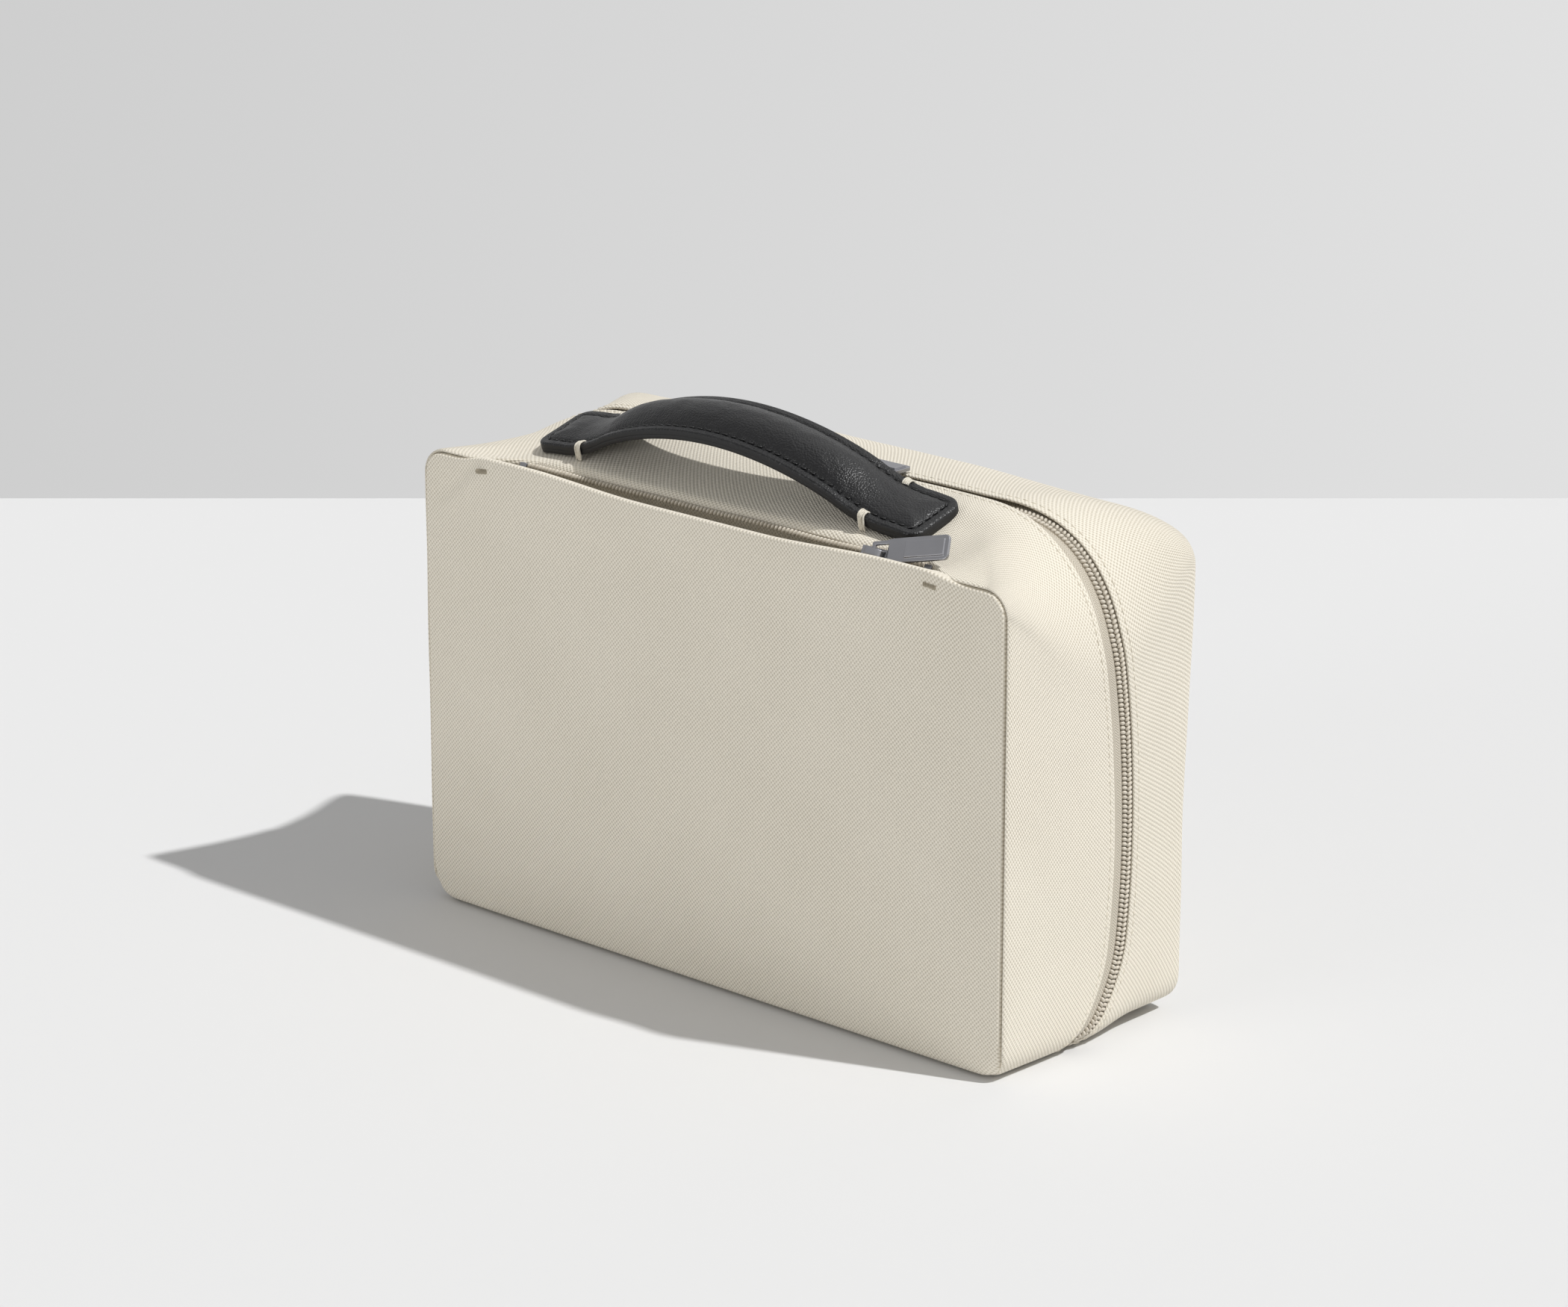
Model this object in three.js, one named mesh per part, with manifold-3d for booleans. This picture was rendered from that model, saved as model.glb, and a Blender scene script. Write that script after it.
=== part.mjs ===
// A soft, boxy toiletry bag of woven polyester that stands on its base.
// The front half carries an open zip pocket and a padded leather handle. The back half is a
// clamshell lid that folds at the base once the three-sided main zip is undone.
// Millimetres, +X to the viewer's right, front face towards -Y, +Z up, origin under the middle.
import * as THREE from "three";
import { mergeVertices } from "three/addons/utils/BufferGeometryUtils.js";
import Module from "manifold-3d";

const wasm = await Module();
wasm.setup();

// Body
const WIDTH = 250;
const HEIGHT = 157;
const DEPTH = 88;
const CROWN = 10;
const FRONT_FULLNESS = 1.6;
const BACK_FULLNESS = 5;
const SIDE_SWELL = 1.5;
const SEAM_CORNER = 9;
const MIDDLE_CORNER = 46;
const BASE_CORNER = 10;

// Cloth, foam and the running gap between pieces that touch
const GAP = 0.3;
const FABRIC = 1;
const FOAM = 3;
const LINING = 0.6;
const OVERRUN = 1;

// Main zip: its line behind the front face, its slits and its tape
const ZIP_SHARE = 0.57;
const FOLD_SHARE = 0.398;
const ZIP_SETBACK = DEPTH * ZIP_SHARE;
const FOLD_SETBACK = DEPTH * FOLD_SHARE;
const ZIP_SWEEP = 32;
const ZIP_BOW = 6.5;
const ZIP_BOW_SHARE = 0.85;
const TOP_SLIT = 3.2;
const SIDE_SLIT = 8.4;
const FOLD_SLIT = 0.8;
const TAPE_REACH = 14;
const TAPE = 0.6;
const TAPE_SEWN = 5;
const COIL = 2.2;
const COIL_WIDTH = 2.6;
const CHAIN_SLOT = 1.2;
const HINGE_TAPE = 0.8;

// Front pocket
const POCKET_DEPTH = 11.2;
const MOUTH_DEPTH = 11;
const MOUTH_MARGIN = 29;
const MOUTH_LENGTH = WIDTH - 2 * MOUTH_MARGIN;
const MOUTH_TURN = 12;
const POCKET_LINING = 0.4;
const POCKET_LINING_DROP = 8;
const POCKET_TAPE_SLANT = 60;
const POCKET_COIL = 2.2;
const POCKET_COIL_SETBACK = 9;
const POCKET_COIL_DROP = 2.2;
const POCKET_ZIP_MARGIN = 11;
const POCKET_ZIP_LENGTH = MOUTH_LENGTH - 2 * POCKET_ZIP_MARGIN;
const POCKET_TAPE_DROP = 13;
const FRONT_COIL_DROP = 4.6;
const STOP_LENGTH = 3;
const BARTACK = [5, 1.6];
const BARTACK_THREAD = 0.3;
const BARTACK_DROP = 3;

// Sliders and pull tabs
const SLIDER_LENGTH = 13;
const SLIDER_WIDTH = 9.2;
const SLIDER_PLATE = 1;
const SLIDER_WEB = 0.6;
const SLIDER_FLANGE = 0.6;
const NOSE_GAP = 0.6;
const MEETING_X = 5.4;
const CROWN_WIDTH = 2.4;
const CROWN_LENGTH = 6.8;
const CROWN_ROOF = 0.9;
const BAIL = 1.2;
const BAIL_PLAY = 0.6;
const PULL_PLAY = 1.1;
const PULL_LENGTH = 28;
const PULL_WIDTH = 8;
const PULL_NECK = 5.6;
const PULL_ARM = 1.2;
const PULL_CORNER = 1.6;
const LABEL = [14.5, 5.2];
const LABEL_PROUD = 0.5;
const POCKET_SLIDER_MARGIN = 28.5;
const POCKET_SLIDER_X = MOUTH_LENGTH / 2 - POCKET_SLIDER_MARGIN;
const POCKET_BAIL_RISE = 1.6;
const POCKET_PULL_TURN = 15;

// Handle
const HANDLE_X = -7;
const HANDLE_LENGTH = 164;
const HANDLE_WIDTH = 24;
const HANDLE_SETBACK = 15.5;
const HANDLE_RISE = 17;
const ARCH_FULLNESS = 0.7;
const HANDLE_RIM = 3.6;
const HANDLE_PAD = 3.6;
const HANDLE_SKIN = 1.5;
const HANDLE_CORE_LENGTH = 120;
const HANDLE_CORE_WIDTH = 16;
const HANDLE_CORNER = 5;
const HANDLE_STEPS = 14;
const PAD_FULLNESS = 0.7;
const CORE_END_SHARE = 0.55;
const TACK_SPACING = 122;
const TACK_WIDTH = 2.6;
const TACK_THREAD = 1;
const TACK_REACH = 3;

// Values that follow from the sizes above
const HANDLE_ARCH = TACK_SPACING - TACK_WIDTH - 2 * GAP;
const FRONT = -DEPTH / 2 + BARTACK_THREAD + GAP;
const BACK = DEPTH / 2;
const BODY_DEPTH = BACK - FRONT;
const CROWN_POWER = Math.log(1 / 2) / Math.log(ZIP_SETBACK / BODY_DEPTH);
const INSIDE_FABRIC = FABRIC + GAP;
const INSIDE_FOAM = INSIDE_FABRIC + FOAM + GAP;
const POCKET_WALL = FRONT + FABRIC + GAP + POCKET_DEPTH;
const DIVIDER_LINING = POCKET_WALL + FABRIC + GAP;
const FRONT_RING = DIVIDER_LINING + LINING + GAP;
const BACK_PANEL = BACK - FABRIC;
const BACK_FOAM_PANEL = BACK_PANEL - GAP - FOAM;
const BACK_LINING_PANEL = BACK_FOAM_PANEL - GAP - LINING;
const BACK_RING = BACK_LINING_PANEL - GAP;
const COIL_TOP = INSIDE_FABRIC + SLIDER_PLATE + GAP;
const ROW_SHARES = [1 / 3, 2 / 3];
const ZIP_TOP = FRONT + ZIP_SETBACK;
const ZIP_SHELF = SLIDER_WIDTH / 2 + GAP;

const radians = THREE.MathUtils.degToRad;
const lerp = THREE.MathUtils.lerp;

// Colours and finishes
const FINISHES = {
  polyester: { color: 0xd9d0bd, roughness: 0.85, metalness: 0 },
  lining: { color: 0x9a958b, roughness: 0.9, metalness: 0 },
  foam: { color: 0xefefec, roughness: 1, metalness: 0 },
  tape: { color: 0xb7ad9b, roughness: 0.8, metalness: 0 },
  coil: { color: 0xa79d8a, roughness: 0.5, metalness: 0 },
  thread: { color: 0xe8e0cf, roughness: 0.9, metalness: 0 },
  leather: { color: 0x1b1b1d, roughness: 0.45, metalness: 0 },
  gunmetal: { color: 0x55565a, roughness: 0.35, metalness: 1 },
};

const bag = new THREE.Group();

function addNode(name, geometry, finish, parent = bag) {
  const mesh = new THREE.Mesh(geometry, new THREE.MeshStandardMaterial(FINISHES[finish]));
  mesh.name = name;
  parent.add(mesh);
  return mesh;
}

// The outline of the body at one depth is a ring of stations, from the middle of the base round
// the right side, over the top and down the left side.
function stationRing() {
  const right = [];
  for (const share of [1 / 2, 1]) right.push({ part: "base", side: 1, share });
  for (const share of [1 / 4, 1 / 2, 3 / 4]) right.push({ part: "baseCorner", side: 1, share });
  for (const share of [0, 0.09, 0.22, 0.6, 1]) right.push({ part: "side", side: 1, share });
  for (const share of [1 / 6, 1 / 3, 1 / 2, 2 / 3, 5 / 6]) right.push({ part: "topCorner", side: 1, share });
  for (const share of topShares()) right.push({ part: "top", side: 1, share });
  const left = right.map((station) => ({ ...station, side: -1 })).reverse();
  const middles = ["base", "top"].map((part) => ({ part, side: 1, share: 0 }));
  return [middles[0], ...right, middles[1], ...left];
}

function topShares() {
  const straight = WIDTH / 2 - SIDE_SWELL - SEAM_CORNER;
  const mouth = MOUTH_LENGTH / 2;
  return [1, mouth / straight, (mouth - MOUTH_TURN / 2) / straight, (mouth - MOUTH_TURN) / straight, 1 / 2, 1 / 4];
}

// A point of the outline at depth y, drawn in by an inset that follows the corner arcs.
// Beside the zip the top is level, so that the sliders run true.
function outlinePoint(station, y, inset) {
  const share = (y - FRONT) / BODY_DEPTH;
  const crownShare = Math.abs(y - ZIP_TOP) < ZIP_SHELF + GAP ? ZIP_SETBACK / BODY_DEPTH : share;
  const swell = Math.sin(Math.PI * crownShare ** CROWN_POWER);
  const past = Math.max(0, 2 * crownShare ** CROWN_POWER - 1);
  const rise = past > 0 ? 1 - past ** BACK_FULLNESS : swell ** FRONT_FULLNESS;
  const halfWidth = WIDTH / 2 - SIDE_SWELL * (1 - Math.sin(Math.PI * share));
  const top = HEIGHT + CROWN * rise;
  const corner = lerp(SEAM_CORNER, MIDDLE_CORNER, swell);
  const turn = station.share * Math.PI / 2;
  const x = {
    base: station.share * (halfWidth - BASE_CORNER),
    baseCorner: halfWidth - BASE_CORNER + (BASE_CORNER - inset) * Math.sin(turn),
    side: halfWidth - inset,
    topCorner: halfWidth - corner + (corner - inset) * Math.cos(turn),
    top: station.share * (halfWidth - corner),
  }[station.part];
  const z = {
    base: inset,
    baseCorner: BASE_CORNER - (BASE_CORNER - inset) * Math.cos(turn),
    side: lerp(BASE_CORNER, top - corner, station.share),
    topCorner: top - corner + (corner - inset) * Math.sin(turn),
    top: top - inset,
  }[station.part];
  return new THREE.Vector3(station.side * x, y, z);
}

// The main zip runs level on top, bows a little to the back down the sides, and sweeps forward
// to the fold at the base.
function zipLine(station) {
  const height = outlinePoint(station, 0, 0).z;
  const rise = Math.min(height / ZIP_SWEEP, 1);
  const bow = ZIP_BOW * Math.sin(Math.PI * Math.min(height / (ZIP_BOW_SHARE * HEIGHT), 1));
  return FRONT + lerp(FOLD_SETBACK, ZIP_SETBACK, 1 - (1 - rise) ** 2) + bow;
}

// Half the slit between the two flaps: narrow on top, open down the sides, shut at the fold.
function halfSlit(station) {
  const opening = { base: 0, baseCorner: station.share, side: 1, topCorner: 1 - station.share, top: 0 }[station.part];
  const shut = station.part.startsWith("base") ? FOLD_SLIT : TOP_SLIT;
  return lerp(shut, SIDE_SLIT, THREE.MathUtils.smoothstep(opening, 0, 1)) / 2;
}

// The front edge of the gusset: behind the front panel, and set back along the pocket mouth.
function gussetEdge(station) {
  const edge = FRONT + FABRIC + GAP;
  if (station.part !== "top") return edge;
  const reach = Math.abs(outlinePoint(station, FRONT, 0).x);
  return edge + MOUTH_DEPTH * THREE.MathUtils.smoothstep(MOUTH_LENGTH / 2 - reach, 0, MOUTH_TURN);
}

function frontRows(station) {
  const tape = zipLine(station) - TAPE_REACH;
  const inner = ROW_SHARES.map((share) => lerp(FRONT_RING, tape, share));
  const line = zipLine(station);
  return [gussetEdge(station), FRONT_RING, ...inner, tape, line - ZIP_SHELF, line - halfSlit(station)];
}

function backRows(station) {
  const tape = zipLine(station) + TAPE_REACH;
  const inner = ROW_SHARES.map((share) => lerp(tape, BACK_RING, share));
  const line = zipLine(station);
  return [line + halfSlit(station), line + ZIP_SHELF, tape, ...inner, BACK_RING, BACK_PANEL - GAP];
}

// A point under the faceted skin of a half, at any depth between its rows or just past them.
function skinPoint(rows, station, y, inset) {
  const last = rows.length - 1;
  if (y <= rows[0]) return outlinePoint(station, rows[0], inset).setY(y);
  if (y >= rows[last]) return outlinePoint(station, rows[last], inset).setY(y);
  const next = rows.findIndex((row) => row >= y);
  const share = (y - rows[next - 1]) / (rows[next] - rows[next - 1]);
  return outlinePoint(station, rows[next - 1], inset).lerp(outlinePoint(station, rows[next], inset), share);
}

// A closed body through loops of equal length. Each loop is an upper chain from front to back
// followed by a lower chain from back to front.
function loft(loops, closed) {
  const size = loops[0].length;
  const at = (loop, corner) => (loop % loops.length) * size + (corner % size);
  const index = [];
  const quad = (a, b, c, d) => index.push(a, b, c, a, c, d);
  for (let i = 0; i < loops.length - (closed ? 0 : 1); i++)
    for (let k = 0; k < size; k++) quad(at(i, k), at(i, k + 1), at(i + 1, k + 1), at(i + 1, k));
  const end = loops.length - 1;
  for (let k = 0; k < size / 2 - 1 && !closed; k++) {
    quad(at(0, k), at(0, size - 1 - k), at(0, size - 2 - k), at(0, k + 1));
    quad(at(end, k), at(end, k + 1), at(end, size - 2 - k), at(end, size - 1 - k));
  }
  const geometry = new THREE.BufferGeometry();
  geometry.setAttribute("position", new THREE.Float32BufferAttribute(loops.flat().flatMap((p) => p.toArray()), 3));
  geometry.setIndex(index);
  return geometry;
}

const RING = stationRing();
// The main zip runs from one lower corner over the top to the other.
const ZIP_PATH = RING.filter((station) => station.part !== "base" || station.share === 1);

// A layer that follows the skin of one half between two of its rows.
function ringLayer(rowsOf, first, last, outer, inner) {
  const loops = RING.map((station) => {
    const rows = rowsOf(station).slice(first, last + 1);
    const upper = rows.map((y) => outlinePoint(station, y, outer));
    const lower = rows.map((y) => outlinePoint(station, y, inner)).reverse();
    return [...upper, ...lower];
  });
  return loft(loops, true);
}

// A strip that runs along a path of stations. Its section lists [reach from the zip line, inset].
function zipStrip(rowsOf, path, side, upper, lower) {
  const place = (station) => ([reach, inset]) =>
    skinPoint(rowsOf(station), station, zipLine(station) + side * reach, inset);
  const loops = path.map((station) => [...upper.map(place(station)), ...lower.map(place(station)).reverse()]);
  return loft(side < 0 ? loops : loops.map((loop) => loop.reverse()), false);
}

// A flat plate cut to the outline at one depth.
function plate(front, thickness, outlineAt, inset) {
  const outline = RING.map((station) => outlinePoint(station, outlineAt, inset));
  const shape = new THREE.Shape(outline.map((point) => new THREE.Vector2(point.x, point.z)));
  return standing(shape, front, thickness);
}

// A shape drawn in X and Z, given its thickness towards +Y from the plane at front.
function standing(shape, front, thickness) {
  const geometry = new THREE.ExtrudeGeometry(shape, { depth: thickness, bevelEnabled: false, curveSegments: 4 });
  return geometry.rotateX(Math.PI / 2).translate(0, front + thickness, 0);
}

// A box between two corners.
function block(low, high) {
  const size = high.map((value, axis) => value - low[axis]);
  const middle = high.map((value, axis) => (value + low[axis]) / 2);
  return new THREE.BoxGeometry(...size).translate(...middle);
}

function toSolid(geometry) {
  const bare = geometry.clone();
  bare.deleteAttribute("normal");
  bare.deleteAttribute("uv");
  const merged = mergeVertices(bare);
  return new wasm.Manifold(new wasm.Mesh({
    numProp: 3,
    vertProperties: merged.attributes.position.array,
    triVerts: new Uint32Array(merged.index.array),
  }));
}

function toGeometry(solid) {
  const mesh = solid.getMesh();
  const geometry = new THREE.BufferGeometry();
  geometry.setAttribute("position", new THREE.Float32BufferAttribute(mesh.vertProperties, mesh.numProp));
  geometry.setIndex(new THREE.Uint32BufferAttribute(mesh.triVerts, 1));
  return geometry;
}

function joined(geometries, cuts = []) {
  const body = geometries.map(toSolid).reduce((sum, next) => sum.add(next));
  return toGeometry(cuts.map(toSolid).reduce((rest, cut) => rest.subtract(cut), body));
}

// Front half: the pocket's outer wall, the wall behind it, and the gusset round three layers
function buildFrontHalf() {
  addNode("front_panel", plate(FRONT, FABRIC, FRONT, 0), "polyester");
  addNode("pocket_lining", pocketLining(), "lining");
  addNode("pocket_back_wall", dividerPlate(POCKET_WALL, FABRIC), "polyester");
  addNode("divider_lining", dividerPlate(DIVIDER_LINING, LINING), "lining");
  addNode("front_gusset", ringLayer(frontRows, 0, 6, 0, FABRIC), "polyester");
  addNode("front_foam", ringLayer(frontRows, 1, 4, INSIDE_FABRIC, INSIDE_FABRIC + FOAM), "foam");
  addNode("front_lining", ringLayer(frontRows, 1, 4, INSIDE_FOAM, INSIDE_FOAM + LINING), "lining");
  addNode("hinge_tape", hingeTape(), "tape");
}

function pocketLining() {
  const sheet = plate(FRONT + FABRIC + GAP, POCKET_LINING, FRONT, INSIDE_FABRIC);
  const above = HEIGHT - POCKET_LINING_DROP;
  return joined([sheet], [block([-WIDTH, FRONT - OVERRUN, above], [WIDTH, BACK, HEIGHT + CROWN])]);
}

// The two plates of the divider stop under the leg of the pocket tape.
function dividerPlate(front, thickness) {
  return plate(front, thickness, POCKET_WALL, INSIDE_FABRIC + TAPE + GAP);
}

// Webbing sewn inside the base along the fold that lets the lid swing.
function hingeTape() {
  const shares = [-1, 0, 1].map((share) => share * (1 - TAPE_REACH / WIDTH));
  const path = shares.map((share) => ({ part: "base", side: 1, share }));
  const edge = FOLD_SLIT / 2;
  const far = TAPE_REACH - GAP;
  const upper = [[far, INSIDE_FABRIC], [edge, INSIDE_FABRIC]];
  const lower = [[far, INSIDE_FABRIC + HINGE_TAPE], [edge, INSIDE_FABRIC + HINGE_TAPE]];
  return zipStrip(frontRows, path, -1, upper, lower);
}

// Back half: the clamshell lid
function buildBackHalf() {
  addNode("back_panel", plate(BACK_PANEL, FABRIC, BACK_PANEL, 0), "polyester");
  addNode("back_panel_foam", plate(BACK_FOAM_PANEL, FOAM, BACK_PANEL, INSIDE_FABRIC), "foam");
  addNode("back_panel_lining", plate(BACK_LINING_PANEL, LINING, BACK_FOAM_PANEL, INSIDE_FABRIC), "lining");
  addNode("back_gusset", ringLayer(backRows, 0, 6, 0, FABRIC), "polyester");
  addNode("back_foam", ringLayer(backRows, 2, 5, INSIDE_FABRIC, INSIDE_FABRIC + FOAM), "foam");
  addNode("back_lining", ringLayer(backRows, 2, 5, INSIDE_FOAM, INSIDE_FOAM + LINING), "lining");
}

// Main zip: a tape and a coil on each half. The tape is sewn under the flap and dips to the coil.
function buildMainZip() {
  const inner = CHAIN_SLOT / 2 + COIL_WIDTH;
  const dip = COIL_TOP + (COIL - TAPE) / 2;
  const sewn = TAPE_REACH - GAP;
  const bend = sewn - TAPE_SEWN;
  const foot = ZIP_SHELF;
  const tapeTop = [[sewn, INSIDE_FABRIC], [bend, INSIDE_FABRIC], [foot, dip], [inner + GAP / 2, dip]];
  const tapeUnder = tapeTop.map(([reach, inset]) => [reach, inset + TAPE]);
  const coilTop = coilChain(COIL_TOP, COIL / 3, inner);
  const coilUnder = coilChain(COIL_TOP + COIL, -COIL / 3, inner);
  for (const [half, rows, side] of [["front", frontRows, -1], ["back", backRows, 1]]) {
    addNode(half + "_zip_tape", zipStrip(rows, ZIP_PATH, side, tapeTop, tapeUnder), "tape");
    addNode(half + "_zip_coil", zipStrip(rows, ZIP_PATH, side, coilTop, coilUnder), "coil");
  }
}

// One chain of a coil's section, from its outer shoulder over its crest to its inner shoulder.
function coilChain(crest, shoulder, inner) {
  const quarter = COIL_WIDTH / 4;
  return [
    [inner, crest + shoulder],
    [inner - quarter, crest],
    [inner - 3 * quarter, crest],
    [inner - COIL_WIDTH, crest + shoulder],
  ];
}

// Pocket zip: the back tape slants down out of the mouth, the front tape stands on the panel.
function buildPocketZip() {
  const half = POCKET_ZIP_LENGTH / 2;
  addNode("pocket_back_tape", alongX(pocketBackTapeSection(), -half, half), "tape");
  const back = new THREE.CylinderGeometry(POCKET_COIL / 2, POCKET_COIL / 2, POCKET_ZIP_LENGTH, 8);
  addNode("pocket_back_coil", back.rotateZ(Math.PI / 2), "coil", pocketZipFrame());
  for (const side of [-1, 1]) {
    const stop = block([0, -POCKET_COIL / 2, -POCKET_COIL / 2], [STOP_LENGTH, POCKET_COIL / 2, POCKET_COIL / 2]);
    stop.translate(side < 0 ? -half - GAP - STOP_LENGTH : half + GAP, 0, 0);
    addNode("pocket_stop_" + (side < 0 ? "left" : "right"), stop, "gunmetal", pocketZipFrame());
  }
  const tapeFront = FRONT + FABRIC + GAP + POCKET_LINING + GAP;
  const coilBase = HEIGHT - FRONT_COIL_DROP;
  const tape = block([-half, tapeFront, HEIGHT - POCKET_TAPE_DROP], [half, tapeFront + TAPE, coilBase - GAP]);
  addNode("pocket_front_tape", tape, "tape");
  const front = new THREE.CylinderGeometry(POCKET_COIL / 2, POCKET_COIL / 2, POCKET_ZIP_LENGTH, 8);
  front.rotateZ(Math.PI / 2).translate(0, FRONT + FABRIC + GAP + POCKET_COIL / 2, coilBase + POCKET_COIL / 2);
  addNode("pocket_front_coil", front, "coil");
}

// The pocket's back chain lies at this place, its tape rising to the back.
function pocketZipPlace() {
  return new THREE.Vector3(0, FRONT + POCKET_COIL_SETBACK, HEIGHT - POCKET_COIL_DROP);
}

function pocketZipFrame() {
  const frame = new THREE.Group();
  frame.position.copy(pocketZipPlace());
  frame.rotation.x = radians(POCKET_TAPE_SLANT);
  bag.add(frame);
  return frame;
}

// The tape rises from the coil to the lip of the mouth and runs on flat under the gusset.
function pocketBackTapeSection() {
  const middle = { part: "top", side: 1, share: 0 };
  const rows = frontRows(middle);
  const under = (y) => skinPoint(rows, middle, y, INSIDE_FABRIC).z;
  const along = new THREE.Vector2(Math.cos(radians(POCKET_TAPE_SLANT)), Math.sin(radians(POCKET_TAPE_SLANT)));
  const across = new THREE.Vector2(-along.y, along.x).multiplyScalar(TAPE / 2);
  const coil = new THREE.Vector2(pocketZipPlace().y, pocketZipPlace().z);
  const start = coil.clone().addScaledVector(along, POCKET_COIL / 2 + GAP);
  const lip = rows[0];
  const end = POCKET_WALL + FABRIC;
  const heel = new THREE.Vector2(lip - GAP, under(lip) - TAPE);
  const upper = [start.clone().add(across), new THREE.Vector2(lip - GAP, under(lip)), new THREE.Vector2(end, under(end))];
  const lower = [start.clone().sub(across), heel.clone().setX(lip), new THREE.Vector2(end, under(end) - TAPE)];
  return [...upper, ...lower.reverse()];
}

// A section drawn in Y and Z, carried along X.
function alongX(section, from, to) {
  const loops = [from, to].map((x) => section.map((point) => new THREE.Vector3(x, point.x, point.y)));
  return loft(loops.reverse(), false);
}

// Bar tacks of thread that hold the two ends of the mouth
function buildBartacks() {
  const [length, height] = BARTACK;
  for (const side of [-1, 1]) {
    const x = side * MOUTH_LENGTH / 2;
    const top = HEIGHT - BARTACK_DROP;
    const tack = block([x - length / 2, -DEPTH / 2, top - height], [x + length / 2, FRONT - GAP, top]);
    addNode("bartack_" + (side < 0 ? "left" : "right"), tack, "thread");
  }
}

// A slider in its own frame: X along the zip, Z out of the cloth, origin on top of its plate.
// Its channel wraps the front coil from the slot in the chain to the tape side.
function sliderGeometry(coilTop, coilHeight, coilSpan, rise) {
  const half = SLIDER_LENGTH / 2;
  const width = SLIDER_WIDTH / 2;
  const under = -SLIDER_PLATE - GAP - coilHeight - GAP;
  const shield = new THREE.Shape();
  const waist = width * 3 / 4;
  shield.moveTo(-half, -waist);
  shield.quadraticCurveTo(-half / 2, -width, half / 3, -width);
  shield.quadraticCurveTo(half, -width, half, -waist / 2);
  shield.lineTo(half, waist / 2);
  shield.quadraticCurveTo(half, width, half / 3, width);
  shield.quadraticCurveTo(-half / 2, width, -half, waist);
  const top = new THREE.ExtrudeGeometry(shield, { depth: SLIDER_PLATE, bevelEnabled: false, curveSegments: 3 });
  top.translate(0, 0, -SLIDER_PLATE);
  const web = SLIDER_WEB / 2;
  const edge = coilSpan + GAP;
  const run = half * 3 / 4;
  const bottom = block([-run, -edge - SLIDER_FLANGE, under - SLIDER_PLATE], [run, web, under]);
  const post = block([-run, -web, under - SLIDER_PLATE / 2], [run, web, -SLIDER_PLATE / 2]);
  const lip = (coilHeight - TAPE) / 2;
  const upLip = block([-run, -edge - SLIDER_FLANGE, under - SLIDER_PLATE / 2], [run, -edge, under + lip - GAP]);
  const downLip = block([-run, -edge - SLIDER_FLANGE, -SLIDER_PLATE - lip], [run, -edge, -SLIDER_PLATE / 2]);
  return joined([top, bottom, post, upLip, downLip, crownGeometry(rise)]);
}

// The bridge over the slider's plate that holds the pull tab's bail.
function crownGeometry(rise) {
  const half = CROWN_LENGTH / 2;
  const window = BAIL / 2 + GAP;
  const slot = BAIL / 2 + BAIL_PLAY;
  const roof = rise + window + CROWN_ROOF;
  const shape = new THREE.Shape();
  shape.moveTo(-half, -SLIDER_PLATE / 2);
  shape.lineTo(half, -SLIDER_PLATE / 2);
  shape.lineTo(half, rise);
  shape.quadraticCurveTo(half, roof, half / 2, roof);
  shape.lineTo(-half / 2, roof);
  shape.quadraticCurveTo(-half, roof, -half, rise);
  const hole = new THREE.Path();
  hole.moveTo(-slot, rise - window);
  hole.lineTo(-slot, rise + window);
  hole.lineTo(slot, rise + window);
  hole.lineTo(slot, rise - window);
  shape.holes.push(hole);
  return standing(shape, -CROWN_WIDTH / 2, CROWN_WIDTH);
}

// A pull tab in its own frame: the bail's axis is Y, the tab points along +X, its label faces +Z.
function pullGeometry() {
  const bail = BAIL / 2;
  const hole = CROWN_WIDTH / 2 + PULL_PLAY;
  const neck = hole + PULL_ARM;
  const width = PULL_WIDTH / 2;
  const shape = new THREE.Shape();
  shape.moveTo(-bail, -neck + bail);
  shape.quadraticCurveTo(-bail, -neck, bail, -neck);
  shape.lineTo(PULL_NECK - bail, -neck);
  shape.quadraticCurveTo(PULL_NECK, -width, PULL_NECK + width, -width);
  shape.lineTo(PULL_LENGTH - PULL_CORNER, -width);
  shape.quadraticCurveTo(PULL_LENGTH, -width, PULL_LENGTH, -width + PULL_CORNER);
  shape.lineTo(PULL_LENGTH, width - PULL_CORNER);
  shape.quadraticCurveTo(PULL_LENGTH, width, PULL_LENGTH - PULL_CORNER, width);
  shape.lineTo(PULL_NECK + width, width);
  shape.quadraticCurveTo(PULL_NECK, width, PULL_NECK - bail, neck);
  shape.lineTo(bail, neck);
  shape.quadraticCurveTo(-bail, neck, -bail, neck - bail);
  const window = new THREE.Path();
  window.moveTo(bail, -hole);
  window.lineTo(bail, hole);
  window.lineTo(PULL_NECK, hole);
  window.lineTo(PULL_NECK, -hole);
  shape.holes.push(window);
  const body = new THREE.ExtrudeGeometry(shape, { depth: BAIL, bevelEnabled: false, curveSegments: 3 });
  body.translate(0, 0, -bail);
  const [labelLength, labelWidth] = LABEL;
  const far = PULL_LENGTH - (PULL_WIDTH - labelWidth) / 2;
  const low = [far - labelLength, -labelWidth / 2, 0];
  return joined([body, block(low, [far, labelWidth / 2, bail + LABEL_PROUD])]);
}

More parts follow.
